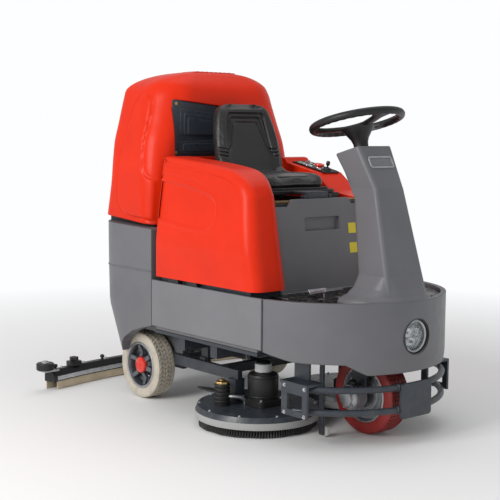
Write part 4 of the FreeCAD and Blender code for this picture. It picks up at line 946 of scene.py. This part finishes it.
def rear_wheels():
    for label, side in SIDES:
        spot, body = (-369, side * 324, 138), "rear_wheel_" + label
        shoulder = [(136.5, 38), (134, 40.5), (130, 42), (122, 42.6), (112, 42.4), (104, 41), (97, 39.5),
                    (96, 36)]
        treaded(spot, 138, 84, 5, 46, 1.0, 1.9, 4.6, shoulder, "cream", "cream_groove_shade",
                "tyre_blocks_" + label, body, "cream_tyre", "rear_tyre_" + label)
        out = (0, side, 0)
        rim = [lathe([(97, 36), (94, 40), (88, 39), (84, 33), (81, 20), (79, 10), (60, 4), (44, 8),
                      (40, 16), (34, 26), (0, 26),
                      (0, 0), (70, -8), (80, -20), (88, -34), (97, -36)], spot, out, 64)]
        for k in range(6):
            a = 2 * pi * k / 6 + 0.3
            turn = Matrix.Translation(spot) @ Matrix(((cos(a), 0, sin(a)), (0, side, 0),
                                                      (-sin(a), 0, cos(a)))).to_4x4()
            spoke = prism(rounded([(32, 24), (58, 13), (82, 26), (86, 34), (82, 36), (56, 25), (34, 34)], 3,
                                  3), "z", -9, 9)
            rim.append(moved(spoke, turn))
        make("rim_spokes_" + label, *joined(*rim), "dark_cast", body, "rim_grey", ("rear_rim_" + label,),
             bevel=2)
        make("rim_lip_" + label, *lathe([(97.5, 36), (97.5, 41.5), (93, 43.4), (87, 42), (87, 38),
                                         (92, 37)], spot, out, 64), "cast", body, "silver")
        make("hub_cap_" + label, *lathe([(0, 26), (30, 26), (33.5, 30), (34, 38), (31, 43), (22, 46),
                                         (14, 47.4), (11, 45.6), (0, 45.2)], spot, out, 48),
             "red_cap", body, "red_body")
        screws("rim_bolts_" + label, [(spot[0] + 52 * cos(2 * pi * k / 6 + 0.82), spot[1] + side * 6,
                                       spot[2] + 52 * sin(2 * pi * k / 6 + 0.82))
                                      for k in range(6)], out, 5, 5, "bright", body)


rear_wheels()


def drive_wheel():
    spot = (612, 0, 147.5)
    shoulder = [(146.5, 41), (144, 45), (138, 47.5), (126, 47.8), (112, 47.2), (105, 46), (104, 42)]
    treaded(spot, 147.5, 96, 7, 60, 0.0, 2.0, 4.2, shoulder, "red_tread", "red_groove_shade", "drive_tread",
            "drive_wheel", "red_tyre", "drive_tyre")
    shapes = []
    for side in (-1, 1):
        shapes.append(lathe([(103.5, 40), (103.5, 46), (98, 47), (95, 40), (92, 30), (68, 27), (62, 38),
                             (40, 40), (21, 40), (21, 20), (60, 12), (100, 12)],
                            spot, (0, side, 0), 72))
        for k in range(8):
            a = pi * k / 4 + 0.2
            shapes.append(lathe([(0, 26), (6, 26), (6, 33), (4.4, 35), (0, 35)],
                                (spot[0] + 82 * cos(a), 0, spot[2] + 82 * sin(a)), (0, side, 0), 6))
    make("drive_rim", *joined(*shapes), "cast", "drive_wheel", "silver", ("drive_hub",), smooth=32)
    # Finned gear motor on the near side of the fork.
    ring = [(0, 71)]
    for k in range(7):
        y = 72 + k * 7
        ring += [(46, y), (46, y + 3.4), (41, y + 3.6), (41, y + 6.8)]
    ring += [(44, 122), (40, 128), (31, 131), (30, 140), (22, 142), (0, 142)]
    shapes = [lathe(ring, spot, (0, -1, 0), 56)]
    shapes += [lathe([(0, 128), (4.5, 128), (4.5, 134), (0, 134)],
                     (spot[0] + 36 * cos(a), 0, spot[2] + 36 * sin(a)), (0, -1, 0), 6)
               for a in (0.6, 1.9, 3.1, 4.4, 5.6)]
    make("gear_motor", *joined(*shapes), "cast", "fork", "silver", ("drive_motor",), smooth=32)
    plug = lathe([(0, 0), (14, 0), (14, 16), (9, 22), (0, 22)], (612, -100, 190), UP, 20)
    make("motor_plug", *joined(plug, box(590, 634, -112, -92, 189, 197)), "black", "fork", "black_plastic",
         bevel=1.2)


drive_wheel()


# ------------------------------------------------------------------ steering wheel
def hand_wheel():
    tilt = radians(15)
    w = Vector((-sin(tilt), 0, cos(tilt)))
    u, v = Vector((cos(tilt), 0, sin(tilt))), Vector((0, 1, 0))
    hub = Vector((513, 0, 1150))
    steps, ring = 192, 20
    verts, faces = [], []
    for i in range(steps):
        a = 2 * pi * i / steps
        out = u * cos(a) + v * sin(a)
        for k in range(ring):
            b = 2 * pi * k / ring
            grip = 1.9 * (0.5 + 0.5 * cos(a * 32)) * max(0, -cos(b) * 0.7 - sin(b) * 0.5)
            r = 14.5 - grip
            verts.append(hub + out * (166 + r * cos(b) * 0.92) + w * r * sin(b))
    for i in range(steps):
        j = (i + 1) % steps
        faces += belt(i, j, ring)
    shapes = [(verts, faces)]
    frame_of = Matrix((u, v, w)).transposed().to_4x4()
    place = Matrix.Translation(hub) @ frame_of
    cone = [(0, -18), (50, -19), (62, -22), (58, -30), (46, -46), (34, -64), (28, -80), (27, -92),
            (27, -106), (0, -106)]
    shapes.append(moved(lathe(cone, (0, 0, 0), UP, 48), place))
    for degrees in (110, 230, 350):
        rows = []
        for t in np.linspace(0, 1, 12):
            r = 14 + 146 * t
            wide = 46 - 34 * sin(pi * min(1, t * 0.94)) ** 0.9 + 13 * t ** 4
            sink = -20 + 14 * t ** 2
            thick = 8.5 - 2.5 * t
            rows.append((r, max(22, wide), sink, thick))
        sv, sf, count = [], [], 12
        for r, wide, sink, thick in rows:
            for k in range(count):
                b = 2 * pi * k / count
                c, s = cos(b), sin(b)
                sv.append((r, wide * copysign(abs(c) ** 0.6, c), sink + thick * copysign(abs(s) ** 0.7, s)))
        for i in range(len(rows) - 1):
            sf += belt(i, i + 1, count)
        sf += [tuple(range(count)), tuple(range(len(sv) - count, len(sv)))]
        shapes.append(moved((sv, sf), place @ Matrix.Rotation(radians(degrees), 4, "Z")))
    make("wheel_grip", *joined(*shapes), "black", "hand_wheel", "black_plastic", ("steering_wheel",),
         smooth=50)
    cap = [(0, -12), (20, -12.6), (31, -15), (34, -20), (0, -20)]
    make("wheel_cap", *moved(lathe(cap, (0, 0, 0), UP, 40), place), "black_gloss", "hand_wheel",
         "black_plastic")


hand_wheel()


# ------------------------------------------------------------------ brush heads
def brushes():
    for label, side in SIDES:
        cx, cy = 250, side * 249
        disc = lathe([(96, 38), (210, 38), (213, 44), (211, 56), (40, 56), (40, 62), (12, 62), (12, 100),
                      (0, 100), (0, 50), (96, 50)], (cx, cy, 0), UP, 72)
        shapes = [disc]
        for row, (r, count) in enumerate(((214, 132), (200, 120), (184, 108), (150, 84), (112, 60))):
            for k in range(count):
                a = 2 * pi * (k + 0.5 * (row % 2)) / count
                flare = 9 if row == 0 else 4
                wob = 2.2 * sin(k * 12.9898 + row * 4.1)
                top, low = [], []
                for q in range(5):
                    b = 2 * pi * q / 5
                    top.append((cx + (r + 2.6 * cos(b)) * cos(a) - 2.6 * sin(b) * sin(a),
                                cy + (r + 2.6 * cos(b)) * sin(a) + 2.6 * sin(b) * cos(a), 40))
                    s = r + flare + wob + 4.4 * cos(b)
                    low.append((cx + s * cos(a) - 4.4 * sin(b) * sin(a),
                                cy + s * sin(a) + 4.4 * sin(b) * cos(a),
                                0.4 + abs(wob) * 0.9))
                shapes.append((top + low, [(q, (q + 1) % 5, (q + 1) % 5 + 5, q + 5) for q in range(5)]
                               + [(9, 8, 7, 6, 5)]))
        make("bristle_disc_" + label, *joined(*shapes), "bristle", "brush_" + label, "bristle",
             ("scrub_brush_" + label,), smooth=60)
        # Motor with cooling cap and pale blank label, gearbox foot and bolts.
        mx, my = 276, cy - side * 6
        motor = [lathe([(0, 102), (57, 102), (59, 106), (59, 190), (56, 197), (48, 200), (31, 201),
                        (31, 240), (28, 244), (0, 244)], (mx, my, 0), UP, 64),
                 prism(oblong(210, 340, cy - 60, cy + 60, 20, 5), "z", 78.2, 104)]
        motor += [lathe([(57, z), (60.4, z + 0.6), (60.4, z + 3.4), (57, z + 4)], (mx, my, 0), UP, 64)
                  for z in (112, 184)]
        make("motor_can_" + label, *joined(*motor), "black", "brush_head", "black_plastic",
             ("brush_motors",), bevel=1.2)
        make("motor_label_" + label, *lathe([(31.2, 206), (31.9, 206), (31.9, 236), (31.2, 236)],
                                            (mx, my, 0), UP, 48), "label", "brush_head", "light_skirt")
        screws("motor_bolts_" + label, [(x, y, 104) for x in (222, 328) for y in (cy - 48, cy + 48)], UP, 5,
               5, "bright", "brush_head")
        # Water valve: ribbed coil with a brass cap, elbow and pipe.
        vx, vy = 188, side * 372
        ribs = [(0, 78.2), (30, 78.2), (30, 84)]
        for k in range(5):
            z = 84 + 15 * k
            ribs += [(30, z), (31, z + 2), (25, z + 4), (25, z + 9), (31, z + 11), (30, z + 13)]
        ribs += [(28, 160), (12, 161), (0, 161)]
        make("valve_coil_" + label, *lathe(ribs, (vx, vy, 0), UP, 36), "rubber", "brush_head",
             "black_plastic", ("water_valves",), smooth=40)
        make("valve_cap_" + label, *lathe([(0, 160.5), (27, 160.5), (28, 164), (26, 170), (16, 173),
                                           (12, 178), (0, 178)], (vx, vy, 0), UP, 8), "brass", "brush_head",
             "bright_steel",
             bevel=1.0)
        latch = [(vx - 20, vy - side * 8), (vx - 62, vy + side * 4), (vx - 104, vy + side * 22),
                 (vx - 112, vy + side * 34), (vx - 84, vy + side * 38),
                 (vx - 30, vy + side * 34), (vx + 6, vy + side * 22)]
        make("deck_latch_" + label, *prism(rounded(latch, [6, 10, 4, 4, 8, 8, 6], 4), "z", 126, 134),
             "black", "brush_head", "black_plastic", bevel=2)
        make("valve_pipe_" + label, *tube(smooth_line([(vx + 18, vy - side * 12, 112),
                                                       (vx + 38, vy - side * 28, 112),
                                                       (vx + 50, vy - side * 50, 108),
                                                       (vx + 54, vy - side * 66, 96),
                                                       (vx + 54, vy - side * 70, 80)], 6), 8, 12), "cast",
             "brush_head", "silver")
        rim = []
        for k in range(10):
            a = 2 * pi * k / 10 + 0.25
            rim.append((cx + 221 * cos(a), cy + 221 * sin(a), 78))
        screws("deck_bolts_" + label, [s for s in rim if abs(s[1]) > 60
                                       and not (vx - 60 < s[0] < vx + 60 and abs(s[1] - vy) < 50)], UP, 4.5,
               4, "bright", "brush_head")
        make("skirt_band_" + label, *lathe([(229.4, 33), (238.2, 33), (238.8, 36), (238.6, 44), (238.6, 57),
                                            (236, 60), (229.4, 60)], (cx, cy, 0), UP, 96),
             "skirt", "brush_head", "light_skirt")


brushes()


# ------------------------------------------------------------------ squeegee
def squeegee():
    centre, radius = 1344, 2178
    shapes = []
    for label, side in SIDES:
        spot = (-758, side * 449)
        lobes = []
        for k in range(40):
            a = 2 * pi * k / 40
            lobes.append((spot[0] + (17.5 + 2.6 * cos(5 * a)) * cos(a),
                          spot[1] + (17.5 + 2.6 * cos(5 * a)) * sin(a)))
        shapes += [prism(lobes, "z", 106, 121), lathe([(0, 84.2), (6, 84.2), (6, 110), (0, 110)],
                                                      (*spot, 0), UP, 20),
                   prism(oblong(-778, -736, side * 449 - 29, side * 449 + 29, 6, 4), "z", 84.2, 104)]
        roller = (-706, side * 622, 0)
        make("roller_tread_" + label, *lathe([(6.1, 93), (30, 93), (35, 94), (38, 98), (38, 120), (35, 124),
                                              (30, 125), (24, 123), (10, 124), (6.1, 125)], roller, UP, 48),
             "black", "roller_" + label, "black_plastic", ("end_roller_" + label,))
        make("roller_hub_" + label, *lathe([(6.6, 124), (15, 124), (16, 126.5), (12, 128), (6.6, 128)],
                                           roller, UP, 32), "label", "roller_" + label, "silver")
    make("star_knobs", *joined(*shapes), "black", "squeegee", "black_plastic", ("squeegee_knobs",), bevel=1.2)
    # Clamp strips along both blades, held by bolts and wing nuts.
    for name, offset, z0, z1, key in (("strip_rear", -1.4, 39, 58, "bright"),
                                      ("strip_front", 56.2, 40, 58, "bright")):
        outer, inner = [], []
        for k in range(61):
            a = radians(164.6 + 30.8 * k / 60)
            for line, more in ((outer, 0), (inner, 1.6)):
                r = radius - offset - (more if offset < 0 else -more)
                line.append((centre + r * cos(a), r * sin(a)))
        make(name, *prism(outer + inner[::-1], "z", z0, z1), key, "squeegee", "bright_steel")
    spots = []
    for k in range(9):
        a = radians(166 + 28 * k / 8)
        spots.append((centre + (radius - 26) * cos(a), (radius - 26) * sin(a), 84))
    screws("channel_bolts", [s for s in spots if abs(s[1]) > 100], UP, 6, 6, "bright", "squeegee")
    grips = []
    for k in (0, 2, 6, 8):
        a = radians(165.2 + 29.6 * k / 8)
        grips.append(lathe([(0, 0), (5, 0), (5, 5), (9, 7), (10, 16), (6, 20), (0, 20)],
                           (centre + (radius - 20) * cos(a), (radius - 20) * sin(a), 84), UP, 12))
    make("strip_wing_nuts", *joined(*grips), "black", "squeegee", "black_plastic", bevel=0.8)


squeegee()


# ------------------------------------------------------------------ lamp, badge, console
def lamp():
    spot, ahead = (0, 0, 392), (1, 0, 0)
    make("lamp_bezel", *lathe([(62, 774.2), (62, 814), (61, 818.5), (57, 820.5), (52, 818), (50.5, 812),
                               (50.5, 800), (54, 796), (0, 780), (0, 774.2)], spot, ahead, 72),
         "cast", "machine", "silver", ("headlamp_housing",), smooth=40)
    bowls = [lathe([(50, 806), (46, 800), (40, 796.4), (0, 795), (0, 792), (50, 792)], spot, ahead, 64)]
    make("lamp_reflector", *bowls[0], "chrome", "machine", "silver", smooth=60)
    for k in range(3):
        a = 2 * pi * k / 3 + 0.5
        at = (0, 22 * cos(a), 392 + 22 * sin(a))
        make("lamp_bowl_%d" % k, *lathe([(18.5, 808), (19.5, 809), (20, 806), (17, 800), (12, 797),
                                         (6, 796.6), (6, 795), (20, 795)], at, ahead, 40), "chrome",
             "machine", "silver",
             smooth=60)
        make("lamp_bulb_%d" % k, *lathe([(0, 796), (6, 796), (6, 800), (5, 804), (0, 806)], at, ahead, 24),
             "black_gloss" if k == 2 else "label", "machine", "silver")
    make("lamp_glass", *lathe([(0, 820.6), (18, 820), (36, 817), (51, 811), (51, 809.6), (36, 815.4),
                               (18, 818.4), (0, 819)], spot, ahead, 64), "lens", "machine", "lens",
         ("headlamp_lens",), smooth=60)
    make("lamp_gasket", *lathe([(62.2, 800), (66.5, 800), (66.5, 827.5), (65, 829.6), (62.8, 828.6),
                                (62.2, 824)], (0, 0, 392), ahead, 72), "rubber", "machine", "black_rubber")


lamp()


def badge():
    """A blank framed plate on the column's head."""
    knee, head = 912, 1046
    slope = (687 - 606) / (head + 18 - knee)
    def at(y, z, proud):
        x = 687 - (z - knee) * slope
        n = Vector((1, 0, slope)).normalized()
        return Vector((x, y, z)) + n * proud
    outer = oblong(-62, 62, 984, 1026, 12, 5)
    inner = oblong(-55, 55, 990, 1020, 8, 5)

    def ring(line, proud):
        return [at(*p, proud) for p in line]

    make("badge_frame", *stacked(ring(outer, -1), ring(outer, 3.2), ring(inner, 3.2), ring(inner, 0.8)),
         "cast", "machine", "silver", ("column_badge",), bevel=0.6)
    plate = oblong(-51, 51, 993, 1017, 7, 5)
    verts, faces = stacked(ring(inner, 0.9), ring(plate, 2.0))
    make("badge_plate", verts, faces + [tuple(range(len(inner), 2 * len(inner)))], "panel", "machine",
         "silver")


badge()


def console():
    turn = Matrix.Rotation(radians(11.88), 4, "Y")
    place = Matrix.Translation((-140, 278, 992 - 11.2)) @ turn
    def on(*shape):
        return moved(shape, place)
    frame_line = oblong(2, 194, 2, 90, 8, 5)
    inner = oblong(7, 189, 7, 85, 6, 5)
    rim = stacked(*([(a, b, up) for a, b in line]
                    for line, up in ((frame_line, 4.9), (frame_line, 7.2), (inner, 7.2), (inner, 5.0))))
    make("console_rim", *on(*rim), "black_gloss", "machine", "black_plastic", bevel=0.6)
    pads, rings, lights = [], [], []
    for a, b, r in ((48, 24, 7), (48, 66, 7), (70, 66, 7), (92, 24, 7), (92, 66, 7), (148, 22, 8),
                    (148, 70, 8)):
        pads.append(lathe([(0, 4.8), (r, 4.8), (r, 7), (r - 2, 8.2), (0, 8.4)], (a, b, 0), UP, 24))
    for a, b, r in ((26, 24, 11), (26, 66, 11), (70, 24, 11), (118, 46, 15)):
        rings.append(lathe([(r + 0.6, 4.8), (r + 4.5, 4.8), (r + 4, 7.6), (r + 1, 8)], (a, b, 0), UP, 32))
    for k in range(5):
        lights.append(lathe([(0, 4.8), (2.2, 4.8), (2.0, 6.4), (0, 7)], (62 + 7 * k, 46, 0), UP, 16))
    make("console_pads", *on(*joined(*pads)), "label", "machine", "silver")
    make("console_bezels", *on(*joined(*rings)), "bright", "machine", "bright_steel")
    make("console_lights", *on(*joined(*lights)), "green_cap", "machine", "green_button")
    boot = [(9.2, 5), (19, 5), (17, 7), (18, 9), (14.5, 11), (15.5, 13), (11.5, 17), (9.2, 18)]
    make("lever_boot", *on(*lathe(boot, (168, 46, 0), UP, 32)), "rubber", "machine", "black_rubber")
    lever = [(0, 0.4), (7, 0.4), (7, 8), (3.6, 10), (3.6, 24), (7, 27), (8.6, 32), (8.6, 40), (6, 45),
             (0, 46.4)]
    make("lever_stick", *on(*lathe(lever, (168, 46, 0), UP, 24)), "black_gloss", "lever", "black_plastic",
         ("direction_lever",))
    cap = joined(lathe([(0, 0.4), (15, 0.4), (15, 9), (12, 10), (12, 14), (20, 14.2), (21, 17), (19.5, 22),
                        (10, 23.4), (0, 23.6)], (118, 46, 0), UP, 40))
    make("stop_mushroom", *on(*cap), "red_cap", "estop", "red_button", ("emergency_stop",))
    for name, b, key, body, slot_name in (("start_button", 24, "green_cap", "start", "green_button"),
                                          ("stop_button", 66, "red_cap", "stop", "red_button")):
        cap = lathe([(0, 0.4), (11, 0.4), (11, 7.4), (10, 9), (7, 9.6), (0, 9.0)], (26, b, 0), UP, 32)
        make(name + "_cap", *on(*cap), key, body, slot_name, (name,))


console()


# ------------------------------------------------------------------ trim, fixings and floor fittings
def trim():
    # Footwell: alloy edge strips and ribbed rows on the rubber.
    make("sill_strip", *joined(box(374, 382, -242, 242, 509.2, 513), box(382, 470, -300, -295, 509.2, 512),
                               box(382, 470, 295, 300, 509.2, 512)), "cast", "machine", "silver", bevel=1)
    bars = []
    for row in range(11):
        for col in range(-8, 9):
            x, y = 398 + row * 24 + (12 if col % 2 else 0), col * 44
            past_rim = (x - 406) ** 2 + y * y > 352 ** 2 or x > 640
            in_column = (abs(y) < 132 and x > 560) or (abs(y) < 110 and x > 500)
            in_pedal = 470 < x < 575 and -215 < y < -95
            in_cover = x < 486 and abs(y) > 288
            if past_rim or in_column or in_pedal or in_cover:
                continue
            c = 1 if (row + col) % 2 else -1
            d = Vector((9, 14 * c))
            q = Vector((2.6, -1.7 * c))
            bars.append(prism([(x - d.x - q.x, y - d.y - q.y), (x + d.x - q.x, y + d.y - q.y),
                               (x + d.x + q.x, y + d.y + q.y), (x - d.x + q.x, y - d.y + q.y)],
                              "z", 508.8, 511.6))
    make("mat_ribs", *joined(*bars), "mat", "machine", "black_rubber", bevel=0.8)
    # Pedal: folded alloy tread plate with grip ribs.
    pedal = [prism([(478, 524), (484, 519), (566, 540), (562, 546)], "y", -200, -110),
             prism([(543.6, 514.2), (548.4, 514.2), (552, 540), (540, 536)], "y", -190, -120)]
    for k in range(6):
        x = 489 + k * 12.5
        z = 525.6 + (x - 481) * 0.262
        pedal.append(moved(box(-2, 2, -194, -116, 0, 3.2),
                           Matrix.Translation((x, 0, z)) @ Matrix.Rotation(-0.256, 4, "Y")))
    pedal += [prism([(478, 524), (470, 534), (473, 537), (483, 527)], "y", -200, -110)]
    make("pedal_tread", *joined(*pedal), "cast", "pedal", "silver", ("accelerator_pedal",), bevel=0.8)
    # Ledges moulded round the rear shell.
    arc = [(-470 - 140 * sin(t), -283 - 140 * cos(t)) for t in np.linspace(0.0, pi / 2, 14)]
    path = [(-210, -423.2)] + arc + [(-610, -180), (-610, 0)]
    path = path + [(x, -y) for x, y in path[-2::-1]]
    make("shell_ledge", *tube([(x, y, 552) for x, y in path], 3.2, 8, False, UP), "grey", "machine",
         "grey_body", smooth=60)
    # Latch pads along the inner edge of the right cover, and clips under it.
    for k, (x, length) in enumerate(((-98, 60), (6, 42))):
        z = 1012 - (x + 177) * 0.107 if x < 60 else 980
        make("cover_pad_%d" % k, *moved(box(-length / 2, length / 2, -264, -250, -3, 7),
                                        Matrix.Translation((x, 0, z - 4)) @ Matrix.Rotation(0.105, 4, "Y")),
             "red", "machine", "red_body", bevel=4)
    clips = [prism(rounded([(x - 34, 520), (x + 34, 520), (x + 24, 541), (x - 24, 541)], 5, 4), "y", -421,
                   -404) for x in (-60, 60)]
    make("cover_clips", *joined(*clips), "black", "machine", "black_plastic", bevel=2)
    # Brown foam strip on the battery lip under the seat.
    make("tray_edge", *joined(box(236, 300, -236, 236, 842, 850)), "wood", "machine", "black_rubber", bevel=2)
    # Bumper: weld beads and bracket bolts, and screws on the body shells.
    beads = []
    for z in (215, 134):
        for side in (-1, 1):
            beads.append(lathe([(12, -3), (15, -2), (15.6, 0), (15, 2), (12, 3)],
                               (406 + 413 * cos(0.192), side * 413 * sin(0.192), z),
                               (-sin(0.192), side * cos(0.192), 0), 24))
    make("weld_beads", *joined(*beads), "slate", "machine", "steel_frame", smooth=60)
    for label, side in SIDES:
        screws("bracket_bolts_" + label, [(x, side * 380.2, z) for x in (548, 651) for z in (124, 222)],
               (0, side, 0), 4.6, 4, "bright", "machine")
    screws("shell_screws", [(-211 - 18, s * 423, z) for s in (-1, 1) for z in (690, 580)]
           + [(486, s * 416.5, z) for s in (-1, 1) for z in (500, 345)], (0, -1, 0), 0.1, 0.1, "black",
           "machine")


trim()


# ------------------------------------------------------------------ floor, light and camera
SKY = (0.985, 0.99, 1.0, 1.0)
FLOOR_RADIUS, FLOOR_DROP = 22000, -0.6


def studio():
    n = 96
    around = [2 * pi * k / n for k in range(n)]
    verts = [(0, 0, FLOOR_DROP)]
    verts += [(FLOOR_RADIUS * cos(a), FLOOR_RADIUS * sin(a), FLOOR_DROP) for a in around]
    mesh = bpy.data.meshes.new("studio_floor")
    mesh.from_pydata([tuple(c * MM for c in v) for v in verts], [],
                     [(0, k + 1, (k + 1) % n + 1) for k in range(n)])
    floor = bpy.data.objects.new("studio_floor", mesh)
    bpy.context.scene.collection.objects.link(floor)
    f = Finish("floor_paint")
    mesh.materials.append(f.done(f.mixed(f.noise(0.6, 2), (0.84, 0.84, 0.84), (0.87, 0.87, 0.87)), 0.75))
    # Far from the machine the floor takes the backdrop's own colour.
    glow = f.add("ShaderNodeEmission")
    glow.inputs[0].default_value, glow.inputs[1].default_value = SKY, 1.0
    far = f.add("ShaderNodeVectorMath", operation="LENGTH")
    f.wire(f.place, far.inputs[0])
    blend = f.add("ShaderNodeMixShader")
    f.wire(f.spread(far.outputs["Value"], 1.3, 3.6), blend.inputs[0])
    f.wire(f.bsdf.outputs[0], blend.inputs[1])
    f.wire(glow.outputs[0], blend.inputs[2])
    f.wire(blend.outputs[0], f.out.inputs["Surface"])

    world = bpy.data.worlds.new("studio")
    bpy.context.scene.world = world
    world.use_nodes = True
    back = world.node_tree.nodes["Background"]
    back.inputs[0].default_value = SKY
    # The backdrop reads white to the camera and lights the machine more softly.
    ray = world.node_tree.nodes.new("ShaderNodeLightPath")
    level = world.node_tree.nodes.new("ShaderNodeMapRange")
    level.inputs["To Min"].default_value, level.inputs["To Max"].default_value = 0.60, 1.0
    world.node_tree.links.new(ray.outputs["Is Camera Ray"], level.inputs["Value"])
    world.node_tree.links.new(level.outputs[0], back.inputs[1])

    def area(name, spot, aim, size, energy, colour=(1, 1, 1)):
        data = bpy.data.lights.new(name, "AREA")
        data.shape, data.size, data.energy, data.color = "SQUARE", size, energy, colour
        lamp_obj = bpy.data.objects.new(name, data)
        bpy.context.scene.collection.objects.link(lamp_obj)
        lamp_obj.location = spot
        lamp_obj.rotation_euler = (Vector(aim) - Vector(spot)).to_track_quat("-Z", "Y").to_euler()

    area("key", (0.4, -4.6, 2.7), (0, 0, 0.6), 2.0, 150, (1.0, 0.99, 0.97))
    area("top", (0.1, 0.6, 4.2), (0, 0, 0.6), 2.8, 26)
    bpy.context.scene.view_settings.view_transform = "Standard"


def camera():
    data = bpy.data.cameras.new("view")
    data.sensor_width, data.lens = 36.0, 79.9
    data.clip_start, data.clip_end = 0.1, 100
    cam = bpy.data.objects.new("view", data)
    bpy.context.scene.collection.objects.link(cam)
    yaw, pitch, roll = radians(49.7), radians(6.1), radians(0.4)
    ahead = Vector((-sin(yaw) * cos(pitch), cos(yaw) * cos(pitch), -sin(pitch)))
    right = Vector((cos(yaw), sin(yaw), 0))
    up = right.cross(ahead)
    r2 = right * cos(roll) + up * sin(roll)
    u2 = -right * sin(roll) + up * cos(roll)
    turn = Matrix((r2, u2, -ahead)).transposed().to_4x4()
    cam.matrix_world = Matrix.Translation((3.410, -2.971, 1.113)) @ turn
    bpy.context.scene.camera = cam


studio()
camera()
